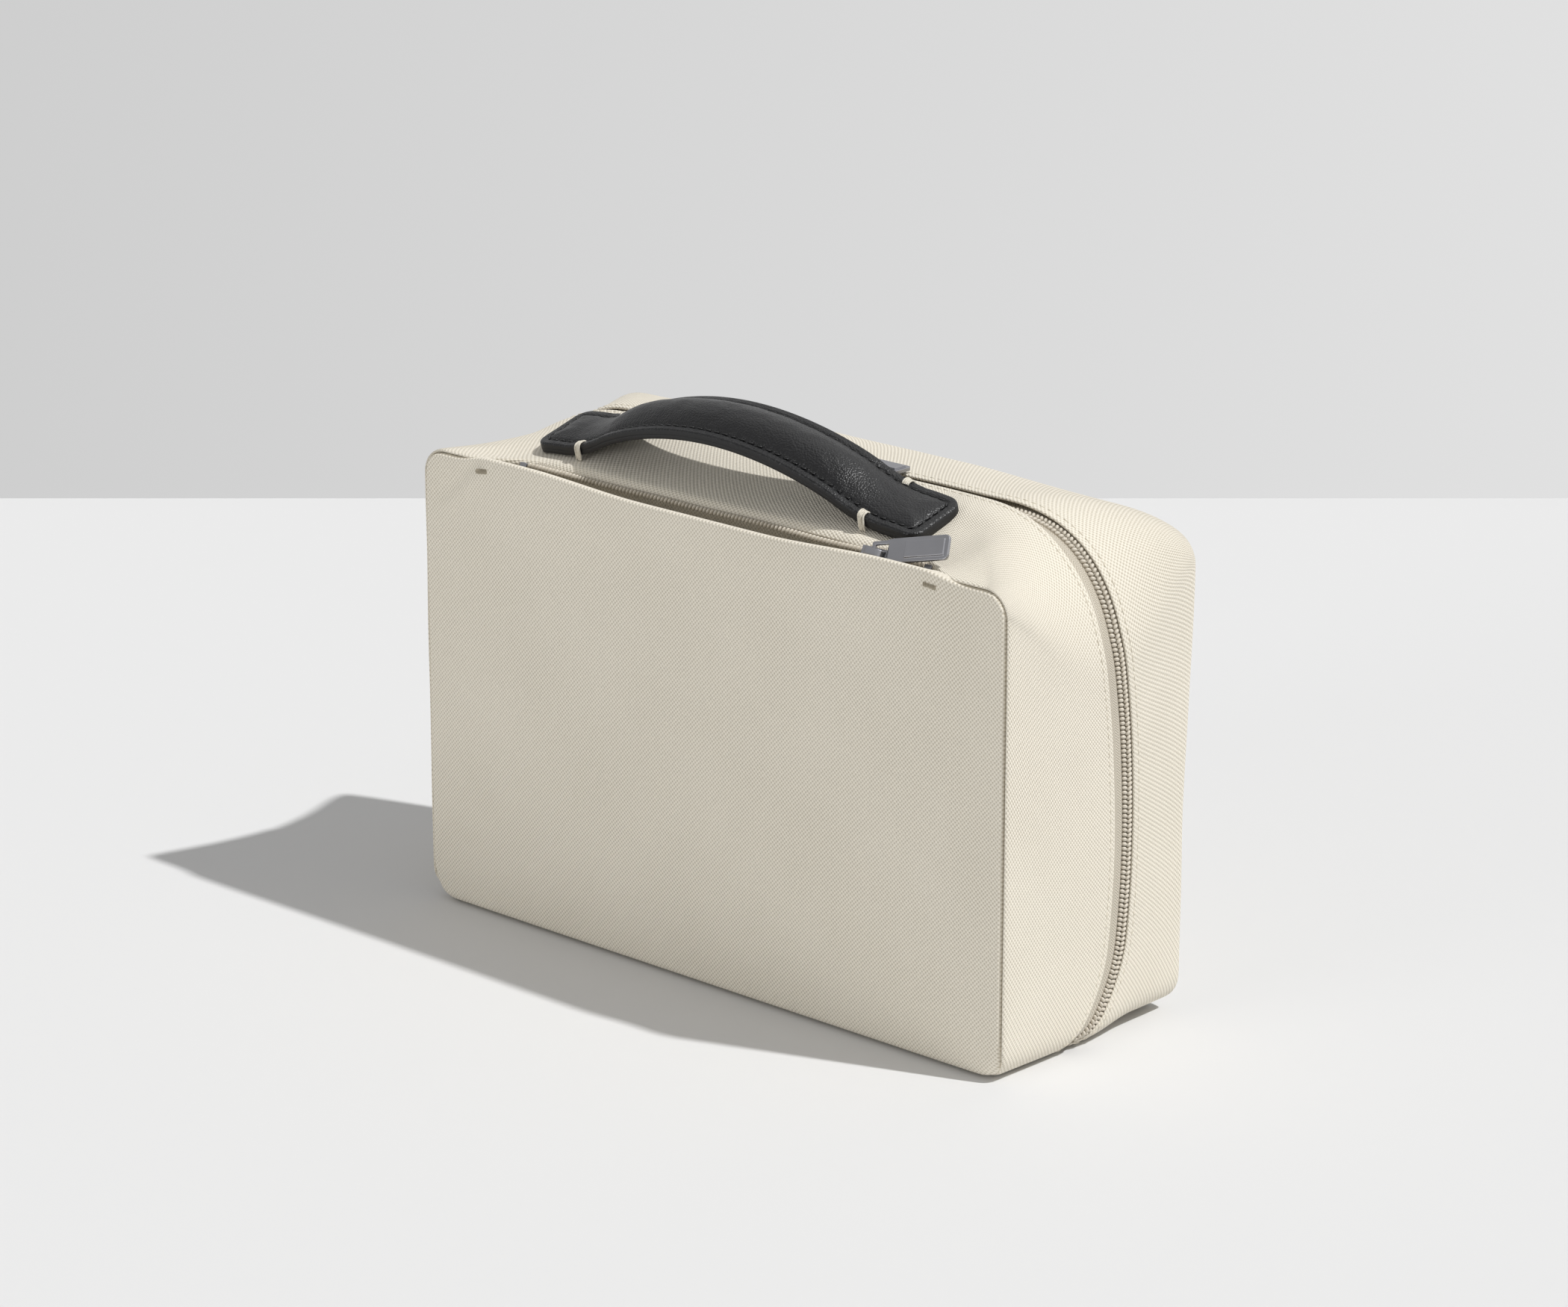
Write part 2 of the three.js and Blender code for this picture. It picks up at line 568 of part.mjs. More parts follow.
// Two sliders meet nose to nose on top, each with its tab pointing outwards.
function buildMainSliders() {
  const middle = { part: "top", side: 1, share: 0 };
  const place = outlinePoint(middle, zipLine(middle), 0);
  const rise = INSIDE_FABRIC + GAP + BAIL;
  for (const side of [1, -1]) {
    const name = side > 0 ? "right" : "left";
    const frame = new THREE.Group();
    frame.position.set(MEETING_X + side * (SLIDER_LENGTH + NOSE_GAP) / 2, place.y, place.z - INSIDE_FABRIC);
    bag.add(frame);
    addNode("main_slider_" + name, sliderGeometry(COIL_TOP, COIL, COIL_WIDTH + CHAIN_SLOT / 2, rise), "gunmetal", frame);
    const tab = addNode("main_pull_" + name, pullGeometry(), "gunmetal", frame);
    tab.position.z = rise;
    tab.rotation.z = side > 0 ? 0 : Math.PI;
  }
}

// The pocket slider rides on the slanted back chain, parked at the open end of the zip.
function buildPocketSlider() {
  const frame = pocketZipFrame();
  const slider = new THREE.Group();
  slider.position.set(POCKET_SLIDER_X, 0, POCKET_COIL / 2 + GAP + SLIDER_PLATE);
  frame.add(slider);
  addNode("pocket_slider", pocketSliderGeometry(), "gunmetal", slider);
  const tab = addNode("pocket_pull", pullGeometry(), "gunmetal", slider);
  tab.position.z = POCKET_BAIL_RISE;
  tab.rotation.z = radians(POCKET_PULL_TURN);
}

function pocketSliderGeometry() {
  const half = SLIDER_LENGTH / 2;
  const reach = POCKET_COIL / 2 + GAP;
  const under = -SLIDER_PLATE - 2 * reach;
  const wall = -reach - SLIDER_FLANGE;
  const top = block([-half, wall, -SLIDER_PLATE], [half, reach + SLIDER_FLANGE, 0]);
  const bottom = block([-half, wall, under - SLIDER_PLATE], [half, reach, under]);
  const front = block([-half, wall, under - SLIDER_PLATE / 2], [half, -reach, -SLIDER_PLATE / 2]);
  return joined([top, bottom, front, crownGeometry(POCKET_BAIL_RISE)]);
}

// The handle lies on the slope of the top. Its frame: X along the strap, Z out of the slope.
function handleFrame() {
  const middle = { part: "top", side: 1, share: 0 };
  const front = FRONT + HANDLE_SETBACK;
  const back = front + HANDLE_WIDTH;
  const rows = frontRows(middle);
  const low = skinPoint(rows, middle, front, 0);
  const high = skinPoint(rows, middle, back, 0);
  const slope = (high.z - low.z) / (high.y - low.y);
  const bulges = rows.filter((y) => y > front && y < back)
    .map((y) => skinPoint(rows, middle, y, 0).z - low.z - slope * (y - low.y));
  const frame = new THREE.Group();
  frame.position.set(HANDLE_X, (low.y + high.y) / 2, (low.z + high.z) / 2 + Math.max(0, ...bulges) + GAP);
  frame.rotation.x = Math.atan(slope);
  bag.add(frame);
  return frame;
}

// The strap's height at a place along it: flat on the bag at its ends, arched between the tacks.
function archHeight(x) {
  const share = Math.abs(x) / HANDLE_ARCH;
  return share < 1 / 2 ? HANDLE_RISE * Math.cos(Math.PI * share) ** ARCH_FULLNESS : 0;
}

// The strap's half width, drawn in round its end corners.
function strapHalfWidth(x, halfWidth) {
  const past = Math.max(0, Math.abs(x) - (HANDLE_LENGTH / 2 - HANDLE_CORNER));
  return halfWidth - HANDLE_CORNER + Math.sqrt(HANDLE_CORNER ** 2 - past ** 2);
}

// How far the padding fills the strap at a place along it, from none at its ends to full.
function padShare(x) {
  return THREE.MathUtils.smoothstep(HANDLE_CORE_LENGTH / 2 - Math.abs(x), 0, HANDLE_CORE_WIDTH);
}

function handleStations() {
  const end = HANDLE_LENGTH / 2;
  const right = [HANDLE_CORNER / 8, HANDLE_CORNER / 3, HANDLE_CORNER].map((c) => end - c);
  const foot = HANDLE_ARCH / 2;
  const steps = Array.from({ length: HANDLE_STEPS + 1 }, (_, i) => lerp(foot, -foot, i / HANDLE_STEPS));
  return [end, ...right, ...steps, ...right.map((x) => -x).reverse(), -end];
}

// A body that follows the strap: its upper and lower heights are given across the width.
function strapBody(stations, halfWidth, acrossShares, upperAt, lowerAt) {
  const loops = stations.map((x) => {
    const reach = strapHalfWidth(x, halfWidth);
    const point = (heightAt) => (share) =>
      new THREE.Vector3(x, share * reach, archHeight(x) + heightAt(share * halfWidth, x));
    return [...acrossShares.map(point(upperAt)), ...acrossShares.map(point(lowerAt)).reverse()];
  });
  return loft(loops, false);
}

// The padding's section: full in the middle and nothing at the edges of the core.
function padHeight(y) {
  const reach = Math.min(1, Math.abs(y) / (HANDLE_CORE_WIDTH / 2));
  return Math.cos(reach * Math.PI / 2) ** PAD_FULLNESS;
}

function buildHandle() {
  const frame = handleFrame();
  const half = HANDLE_WIDTH / 2;
  const core = HANDLE_CORE_WIDTH / 2;
  const seam = HANDLE_SKIN + GAP;
  const stations = handleStations();
  const wideShares = [1, 1 - HANDLE_SKIN / half, core / half, core / half / 2];
  const acrossShares = [...wideShares.map((share) => -share), 0, ...wideShares.reverse()];
  const fill = HANDLE_RIM - seam - HANDLE_SKIN + HANDLE_PAD;
  const top = (y, x) => HANDLE_RIM + HANDLE_PAD * padHeight(y) * padShare(x);
  const hollow = (y, x) => seam + fill * padHeight(y) * padShare(x);
  addNode("handle_base", strapBody(stations, half, [-1, 0, 1], () => HANDLE_SKIN, () => 0), "leather", frame);
  addNode("handle_top", strapBody(stations, half, acrossShares, top, hollow), "leather", frame);
  const padded = stations.filter((x) => padShare(x) > CORE_END_SHARE);
  const edgeShare = 3 / 4;
  const inside = (y, x) => {
    const shoulder = hollow(core / 2, x);
    const faceted = Math.abs(y) > core / 2 ? lerp(seam, shoulder, 2 * (1 - Math.abs(y) / core)) : hollow(y, x);
    return faceted - 2 * GAP;
  };
  const coreShares = [-edgeShare, -1 / 2, 0, 1 / 2, edgeShare];
  addNode("handle_core", strapBody(padded, core, coreShares, inside, () => seam), "foam", frame);
  buildTacks(frame);
}

// Four tacks of thick thread hold the strap's edges down to the cloth.
function buildTacks(frame) {
  const half = HANDLE_WIDTH / 2;
  const outside = half + GAP;
  const top = HANDLE_RIM + GAP;
  const shape = new THREE.Shape();
  shape.moveTo(outside, GAP);
  shape.lineTo(outside + TACK_THREAD, GAP);
  shape.lineTo(outside + TACK_THREAD, top);
  shape.lineTo(outside, top + TACK_THREAD);
  shape.lineTo(outside - TACK_REACH, top + TACK_THREAD);
  shape.lineTo(outside - TACK_REACH, top);
  shape.lineTo(outside, top);
  for (const [endName, end] of [["left", -1], ["right", 1]])
    for (const [edgeName, edge] of [["front", -1], ["back", 1]]) {
      const hook = new THREE.ExtrudeGeometry(shape, { depth: TACK_WIDTH, bevelEnabled: false });
      hook.rotateX(Math.PI / 2).rotateZ(edge * Math.PI / 2);
      hook.translate(end * TACK_SPACING / 2 + edge * -TACK_WIDTH / 2, 0, 0);
      addNode("handle_tack_" + edgeName + "_" + endName, hook, "thread", frame);
    }
}

buildFrontHalf();
buildBackHalf();
buildMainZip();
buildPocketZip();
buildBartacks();
buildMainSliders();
buildPocketSlider();
buildHandle();

export default bag;
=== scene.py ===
import math
from itertools import accumulate

import bmesh
import bpy
from mathutils import Matrix, Vector, noise


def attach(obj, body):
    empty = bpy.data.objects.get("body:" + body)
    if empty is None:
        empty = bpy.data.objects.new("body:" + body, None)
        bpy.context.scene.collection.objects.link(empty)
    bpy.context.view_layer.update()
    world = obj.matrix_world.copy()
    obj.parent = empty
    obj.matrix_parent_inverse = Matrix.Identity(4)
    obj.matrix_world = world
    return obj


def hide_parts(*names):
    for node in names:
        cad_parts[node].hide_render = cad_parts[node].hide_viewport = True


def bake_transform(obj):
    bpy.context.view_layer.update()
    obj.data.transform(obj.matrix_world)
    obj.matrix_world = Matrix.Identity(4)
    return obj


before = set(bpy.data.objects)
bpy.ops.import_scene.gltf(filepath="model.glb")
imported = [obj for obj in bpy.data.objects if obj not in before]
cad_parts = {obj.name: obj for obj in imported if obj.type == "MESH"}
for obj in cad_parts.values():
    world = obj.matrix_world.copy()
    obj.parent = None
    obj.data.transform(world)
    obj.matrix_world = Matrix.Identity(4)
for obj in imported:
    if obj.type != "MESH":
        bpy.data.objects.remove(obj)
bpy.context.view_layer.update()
scene = bpy.context.scene
MM = 0.001

# ------------------------------
# The camera stands in front of the bag, to its right and above it. Its place, turn and lens were
# fitted to the corners of the bag in the photograph.
LENS_PX = 6789
IMAGE_PX = 2100
VIEW_AZIMUTH = math.radians(42.62)
VIEW_PITCH = math.radians(17.32)
CAMERA_MM = (1047.4, -1143.0, 585.3)

camera = bpy.data.objects.new("camera", bpy.data.cameras.new("camera"))
scene.collection.objects.link(camera)
scene.camera = camera
camera.data.sensor_width = 36
camera.data.lens = LENS_PX / IMAGE_PX * camera.data.sensor_width
camera.data.clip_start = 0.05
look_back = Vector((math.sin(VIEW_AZIMUTH) * math.cos(VIEW_PITCH),
                    -math.cos(VIEW_AZIMUTH) * math.cos(VIEW_PITCH),
                    math.sin(VIEW_PITCH)))
look_right = Vector((math.cos(VIEW_AZIMUTH), math.sin(VIEW_AZIMUTH), 0))
look_up = look_back.cross(look_right)
turn = Matrix((look_right, look_up, look_back)).transposed().to_4x4()
camera.matrix_world = Matrix.Translation(Vector(CAMERA_MM) * MM) @ turn

# ------------------------------
# The studio: a matt, nearly white floor that ends behind the bag, a pale grey room beyond it that
# is lighter on the right, one hard lamp high on the right and a little behind, which throws the
# shadow to the left, and a low, soft lamp that lifts the shaded front.
# What the camera and reflections see: the room's grey, how fast it brightens to one side, and the
# glow of a soft box overhead.
ROOM_HEX = "d8d8d8"
ROOM_SLOPE, ROOM_DIMMEST = 0.61, 0.85
BRIGHT_SIDE = (0.74, 0.68, 0.0)
SOFTBOX_AT, SOFTBOX_EDGE, SOFTBOX_GAIN = (-0.1, 0.25, 0.96), 6, 0.9
# What lights the bag: even light from the room, more of it from above, and two lamps, each with
# the direction it comes from, its strength and its spread in degrees.
ROOM_LIGHT, CEILING_SHARE = 0.33, 0.35
LAMPS = {"key_lamp": (Vector((105, 40, 157)), 2.6, 1.6),
         "fill_lamp": (Vector((-20, -100, 10)), 0.62, 25)}
# The floor's far edge is this many metres from the camera.
FLOOR_HEX = "e1e1e1"
FLOOR_BEHIND = 2.101
FLOOR_HALF = 4.0


def linear(hex_colour, alpha=1.0):
    channels = [int(hex_colour[i:i + 2], 16) / 255 for i in (0, 2, 4)]
    low = [c / 12.92 if c <= 0.04045 else ((c + 0.055) / 1.055) ** 2.4 for c in channels]
    return (*low, alpha)


def add_node(tree, kind, settings=None, **links):
    """Adds a shader node, sets its attributes, then its inputs from values or output sockets."""
    node = tree.nodes.new(kind)
    for name, value in (settings or {}).items():
        setattr(node, name, value)
    for name, value in links.items():
        key = int(name[1:]) if name[0] == "i" and name[1:].isdigit() else name.replace("_", " ")
        if isinstance(value, bpy.types.NodeSocket):
            tree.links.new(value, node.inputs[key])
        else:
            node.inputs[key].default_value = value
    return node


def maths(tree, operation, *values):
    """Adds a maths node and gives its result."""
    inputs = {f"i{k}": value for k, value in enumerate(values)}
    return add_node(tree, "ShaderNodeMath", {"operation": operation}, **inputs).outputs[0]


def new_material(name, **sockets):
    """A material with a Principled shader that has these values, wired to its output."""
    material = bpy.data.materials.new(name)
    material.use_nodes = True
    tree = material.node_tree
    tree.nodes.clear()
    shader = add_node(tree, "ShaderNodeBsdfPrincipled", **sockets)
    add_node(tree, "ShaderNodeOutputMaterial", Surface=shader.outputs["BSDF"])
    return material, tree, shader


world = bpy.data.worlds.new("studio")
scene.world = world
world.use_nodes = True
room = world.node_tree
room.nodes.clear()
rays = add_node(room, "ShaderNodeLightPath").outputs
seen = maths(room, "MAXIMUM", rays["Is Camera Ray"], rays["Is Glossy Ray"])
towards = add_node(room, "ShaderNodeTexCoord").outputs["Generated"]
height = add_node(room, "ShaderNodeSeparateXYZ", i0=towards).outputs[2]
ceiling = maths(room, "MULTIPLY_ADD", height, CEILING_SHARE * ROOM_LIGHT, ROOM_LIGHT)
lighting = add_node(room, "ShaderNodeBackground", Color=(1, 1, 1, 1), Strength=ceiling)
sideways, facing = (add_node(room, "ShaderNodeVectorMath", {"operation": "DOT_PRODUCT"},
                             i0=towards, i1=direction).outputs["Value"]
                    for direction in (BRIGHT_SIDE, SOFTBOX_AT))
gradient = maths(room, "MULTIPLY_ADD", sideways, ROOM_SLOPE, 1.0)
dimmest = maths(room, "MAXIMUM", gradient, ROOM_DIMMEST)
falloff = maths(room, "POWER", maths(room, "MAXIMUM", facing, 0.0), SOFTBOX_EDGE)
glow = maths(room, "MULTIPLY_ADD", falloff, SOFTBOX_GAIN, dimmest)
backdrop = add_node(room, "ShaderNodeBackground", Color=linear(ROOM_HEX), Strength=glow)
mixed = add_node(room, "ShaderNodeMixShader",
                 i0=seen, i1=lighting.outputs[0], i2=backdrop.outputs[0])
add_node(room, "ShaderNodeOutputWorld", Surface=mixed.outputs[0])

for name, (source, strength, spread) in LAMPS.items():
    lamp = bpy.data.objects.new(name, bpy.data.lights.new(name, "SUN"))
    scene.collection.objects.link(lamp)
    lamp.data.energy = strength
    lamp.data.angle = math.radians(spread)
    lamp.rotation_mode = "QUATERNION"
    lamp.rotation_quaternion = source.to_track_quat("Z", "Y")

floor_finish = new_material("matt_studio_paint",
                            Base_Color=linear(FLOOR_HEX), Roughness=0.9, IOR=1.3)[0]
bm = bmesh.new()
bmesh.ops.create_grid(bm, x_segments=1, y_segments=1, size=FLOOR_HALF)
away = Vector((-math.sin(VIEW_AZIMUTH), math.cos(VIEW_AZIMUTH), 0))
under_camera = Vector((CAMERA_MM[0], CAMERA_MM[1], 0)) * MM
bmesh.ops.rotate(bm, verts=bm.verts, matrix=Matrix.Rotation(VIEW_AZIMUTH, 3, "Z"))
bmesh.ops.translate(bm, verts=bm.verts, vec=under_camera + away * (FLOOR_BEHIND - FLOOR_HALF))
floor_mesh = bpy.data.meshes.new("floor")
bm.to_mesh(floor_mesh)
bm.free()
floor_mesh.materials.append(floor_finish)
floor = bpy.data.objects.new("floor", floor_mesh)
scene.collection.objects.link(floor)

scene.view_settings.view_transform = "Standard"

# ------------------------------
# The front gusset: one long strip of cream woven polyester that makes the base, both sides and the
# top of the front half. It is sewn to the front panel in a plain seam turned inside, so that it
# rolls over beside the seam, and it ends in a folded flap, top-stitched, beside the main zip.
# All sizes are in millimetres. The section rises from the seams to the crown above the main zip.
WIDTH, HEIGHT, FRONT, BACK = 252, 157, -43.4, 44
BODY_DEPTH = BACK - FRONT
MIDDLE = Vector((0, 0.3, 80))
CROWN, FRONT_FULLNESS, BACK_FULLNESS, SIDE_SWELL = 10, 1.6, 5, 0.5
SEAM_CORNER, MIDDLE_CORNER, BASE_CORNER = 9, 46, 10
# How the filled bag settles: its back leans out between two heights, its top falls towards the
# back corners, and its base lifts behind the fold. Each range is where the change takes place.
BACK_LEAN, LEAN_FROM, LEAN_RISE = 3.5, 5, (45, 150)
CROWN_FALL, FALL_ALONG, FALL_BEHIND, TOP_BAND = 1.8, (40, 105), (0.65, 0.9), (110, 145)
BASE_LIFT, LIFT_BEHIND, LIFT_BELOW = 2.4, (3, 24), (3, 40)
# The dip under the handle's ends: it grows and fades over these ranges along and across the top.
PRESSED_X, PRESSED_DEEP = -7, 1.7
PRESSED_ALONG, PRESSED_ACROSS = (58, 84, 90, 112), (FRONT + 1, -32, -13, -3)
# The main zip's line behind the front, on top and at the fold, and the slit between its flaps.
ZIP_SETBACK, FOLD_SETBACK, ZIP_SWEEP = 50.16, 35.02, 32
ZIP_BOW, BOW_HEIGHT = 6.5, 133
TOP_SLIT, SIDE_SLIT, FOLD_SLIT = 2.9, 9.0, 1.7
SLIT_CORNER, SLIT_FADE = 0.15, 0.65
# The pocket's mouth, and the lip behind it as (reach behind the mouth, drop under the skin).
MOUTH_LENGTH, MOUTH_DEPTH, MOUTH_TURN = 204, 12.3, 12
MOUTH_LIP = ((-1.8, 2.0), (-1.5, 1.6), (-1.0, 1.0), (-0.5, 0.5), (0.3, 0.15), (1.2, 0.02))
CROWN_POWER = math.log(1 / 2) / math.log(ZIP_SETBACK / BODY_DEPTH)
# The steps of the ring of profiles round each part of the bag, and of each skin from edge to edge.
STATION_COUNTS = {"base": 12, "base_corner": 6, "side": 30, "top_corner": 14, "top": 34}
FRONT_ROWS, BACK_ROWS = 26, 22
# The rolled edge beside the seam, as (inset from the skin, depth behind the front).
SEAM_EDGE = ((1.35, 3.0), (1.25, 1.6), (1.05, 0.95), (0.7, 0.6), (0.3, 0.8), (0.0, 1.5))
# Under the base that seam lies further back, hidden by the panel that rolls under.
BOTTOM_ROLL = 3.4
CLOTH = 0.45
FLAP_FOLD, FLAP_TURN, FOLD_STEPS = 0.5, 6, (30, 60, 90, 120, 150, 180)
WAVE_MM, WAVE_SWELL = 34, 0.35
# The cloth's lighter tone is painted on the crowns of the threads and the darker one in the hollows
# between them, as painted light and shade of the weave. Yarn and patch noise also move it between
# the two.
CLOTH_HEX = "f0e9da"
CLOTH_SHADE_HEX = "c1b8a5"
THREAD_MM = 0.72


def smooth(value, low, high):
    share = min(max((value - low) / (high - low), 0), 1)
    return share * share * (3 - 2 * share)


def band(value, start, full, fade, end):
    """Grows from 0 at start to 1 at full, and falls again from fade to 0 at end."""
    return smooth(value, start, full) * (1 - smooth(value, fade, end))


def half_ring():
    """Stations (part, share) from the base's middle up the right side to the top's middle."""
    ring = []
    for part, count in STATION_COUNTS.items():
        ring += [(part, i / count if part != "top" else 1 - i / count) for i in range(count)]
    return ring + [("top", 0)]


RIGHT = half_ring()
RING = [(1, *s) for s in RIGHT] + [(-1, *s) for s in RIGHT[-2::-1]]


def pressed(x, y):
    """How far the ends of the handle push the top down."""
    return PRESSED_DEEP * band(abs(x - PRESSED_X), *PRESSED_ALONG) * band(y, *PRESSED_ACROSS)


def lean(y, z):
    """The back of the filled bag leans out towards its top."""
    return BACK_LEAN * smooth(y, LEAN_FROM, BACK) * smooth(z, *LEAN_RISE)


def lifted(y, z):
    """Behind the fold the filled base is rounded and stands a little off the ground."""
    return BASE_LIFT * smooth(y, *LIFT_BEHIND) * (1 - smooth(z, *LIFT_BELOW))


def outline(station, y, inset=0):
    """A point of the bag's skin at a station of its ring and at depth y, in millimetres."""
    side, part, share = station
    depth = min(max((y - FRONT) / BODY_DEPTH, 0), 1)
    swell = math.sin(math.pi * depth ** CROWN_POWER)
    past = 2 * depth ** CROWN_POWER - 1
    rise = 1 - past ** BACK_FULLNESS if past > 0 else swell ** FRONT_FULLNESS
    half = WIDTH / 2 - SIDE_SWELL * (1 - math.sin(math.pi * depth))
    top = HEIGHT + CROWN * rise
    corner = SEAM_CORNER + (MIDDLE_CORNER - SEAM_CORNER) * swell
    angle = share * math.pi / 2
    if part == "base":
        x, z = share * (half - BASE_CORNER), inset
    elif part == "base_corner":
        x = half - BASE_CORNER + (BASE_CORNER - inset) * math.sin(angle)
        z = BASE_CORNER - (BASE_CORNER - inset) * math.cos(angle)
    elif part == "side":
        x, z = half - inset, BASE_CORNER + (top - corner - BASE_CORNER) * share
    elif part == "top_corner":
        x = half - corner + (corner - inset) * math.cos(angle)
        z = top - corner + (corner - inset) * math.sin(angle)
    else:
        x, z = share * (half - corner), top - inset
    sunk = pressed(side * x, y) + CROWN_FALL * smooth(x, *FALL_ALONG) * smooth(depth, *FALL_BEHIND)
    return Vector((side * x, y + lean(y, z), z + lifted(y, z) - sunk * smooth(z, *TOP_BAND)))


def zip_depth(station):
    """The depth of the main zip's line: straight on top, swept forward to the fold at the base."""
    height = outline(station, 0).z
    rise = min(height / ZIP_SWEEP, 1)
    bow = ZIP_BOW * math.sin(math.pi * min(height / BOW_HEIGHT, 1)) if station[1] != "base" else 0
    return FRONT + FOLD_SETBACK + (ZIP_SETBACK - FOLD_SETBACK) * (1 - (1 - rise) ** 2) + bow


def zip_open(station):
    """How far the flaps stand apart at a station: 0 on top and at the fold, 1 down the sides."""
    side, part, share = station
    opening = {"base": 0, "base_corner": share, "side": 1,
               "top_corner": 1 + SLIT_CORNER - share, "top": share - 1 + SLIT_CORNER}[part]
    return smooth(opening, 0, SLIT_FADE)


def half_slit(station):
    shut = FOLD_SLIT if station[1].startswith("base") else TOP_SLIT
    return (shut + (SIDE_SLIT - shut) * zip_open(station)) / 2


def in_mouth(station):
    """How far a station is inside the pocket's mouth, from 0 at its ends to 1."""
    if station[1] != "top":
        return 0
    reach = abs(outline(station, FRONT).x)
    return smooth(MOUTH_LENGTH / 2 - reach, 0, MOUTH_TURN)


def softened(point, amount=WAVE_SWELL):
    """Filled cloth is never quite flat: it swells and sinks a little over a few centimetres."""
    out = point - MIDDLE
    outward = Vector((out.x / (WIDTH / 2), 0.6 * out.y / (BODY_DEPTH / 2), out.z / MIDDLE.z))
    return point + outward.normalized() * noise.noise(point / WAVE_MM) * amount


def tucked_under(station):
    """1 along the base, where the front panel rolls under and hides the seam, 0 above it."""
    side, part, share = station
    return {"base": 1, "base_corner": 1 - smooth(share, 0.2, 1)}.get(part, 0)


def seam_head(station):
    """The rolled edge of the gusset beside the front seam, from inside the groove to the skin."""
    under = BOTTOM_ROLL * tucked_under(station)
    rows = [outline(station, FRONT + deep + under, inset) for inset, deep in SEAM_EDGE]
    lip = [outline(station, FRONT + MOUTH_DEPTH + reach, drop) for reach, drop in MOUTH_LIP]
    return [row.lerp(lowered, in_mouth(station)) for row, lowered in zip(rows, lip)]


def flap(station, edge, side):
    """A flap's folded edge and underside: side is -1 for the front flap and 1 for the back one."""
    bend = edge + side * FLAP_FOLD
    fold = [outline(station, bend - side * FLAP_FOLD * math.sin(angle),
                    FLAP_FOLD * (1 - math.cos(angle)))
            for angle in map(math.radians, FOLD_STEPS)]
    under = [outline(station, bend + side * FLAP_TURN * i / 3, 2 * FLAP_FOLD) for i in (1, 2, 3)]
    return fold + under


def front_profile(station):
    """The gusset's section at one station, from the seam to the underside of the flap."""
    head = seam_head(station)
    start = head[-1].y
    edge = zip_depth(station) - half_slit(station)
    skin = [outline(station, start + (edge - FLAP_FOLD - start) * i / FRONT_ROWS)
            for i in range(1, FRONT_ROWS + 1)]
    return [softened(point) for point in head + skin + flap(station, edge, -1)]


def new_piece(name, bm, material, body, *nodes, smooth_shaded=True):
    """Makes the bmesh a piece of the bag that rides on a body and stands for CAD nodes."""
    mesh = bpy.data.meshes.new(name)
    bm.to_mesh(mesh)
    bm.free()
    for polygon in mesh.polygons:
        polygon.use_smooth = smooth_shaded
    for finish in material if isinstance(material, (list, tuple)) else [material]:
        mesh.materials.append(finish)
    piece = bpy.data.objects.new(name, mesh)
    scene.collection.objects.link(piece)
    if body:
        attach(piece, body)
    if nodes:
        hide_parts(*nodes)
    return piece


def lengths(points):
    """How far along a line each of its points is."""
    return list(accumulate(((b - a).length for a, b in zip(points, points[1:])), initial=0.0))


def skin_from_profiles(profiles, closed=True):
    """A grid of cloth through profiles of equal length. Its UV map measures the cloth in metres."""
    bm = bmesh.new()
    rows, columns = len(profiles[0]), len(profiles) + (1 if closed else 0)
    bmesh.ops.create_grid(bm, x_segments=columns - 1, y_segments=rows - 1, size=0.5)
    middle = rows // 2
    along = lengths([profile[middle] for profile in profiles + profiles[:1]])
    across = [lengths(profile) for profile in profiles]
    uv = bm.loops.layers.uv.new("cloth")
    place = {}
    for vertex in bm.verts:
        column = round((vertex.co.x + 0.5) * (columns - 1))
        row = round((vertex.co.y + 0.5) * (rows - 1))
        place[vertex] = (column, row)
        vertex.co = profiles[column % len(profiles)][row] * MM
    for face in bm.faces:
        for loop in face.loops:
            column, row = place[loop.vert]
            run = across[column % len(profiles)]
            loop[uv].uv = (along[column] * MM, (run[row] - run[middle]) * MM)
    if closed:
        bmesh.ops.remove_doubles(bm, verts=bm.verts, dist=1e-6)
    return bm


def thicken(piece, thickness, levels=1, offset=-1):
    """Gives a sheet its thickness, on the inside or, at offset 0, on both sides, and rounds it."""
    sheet = piece.modifiers.new("thickness", "SOLIDIFY")
    sheet.thickness = thickness * MM
    sheet.offset = offset
    if levels:
        rounding = piece.modifiers.new("rounding", "SUBSURF")
        rounding.levels = rounding.render_levels = levels


def coloured(tree, shader, share, dark_hex, light_hex):
    """Colours a surface between two tones."""
    tone = add_node(tree, "ShaderNodeMix", {"data_type": "RGBA"},
                    i0=share, i6=linear(dark_hex), i7=linear(light_hex))
    tree.links.new(tone.outputs["Result"], shader.inputs["Base Color"])


def raised(tree, shader, height, strength, deep, **settings):
    """Gives a surface a relief of a depth in millimetres."""
    bump = add_node(tree, "ShaderNodeBump", settings,
                    Strength=strength, Distance=deep * MM, Height=height)
    tree.links.new(bump.outputs[0], shader.inputs["Normal"])


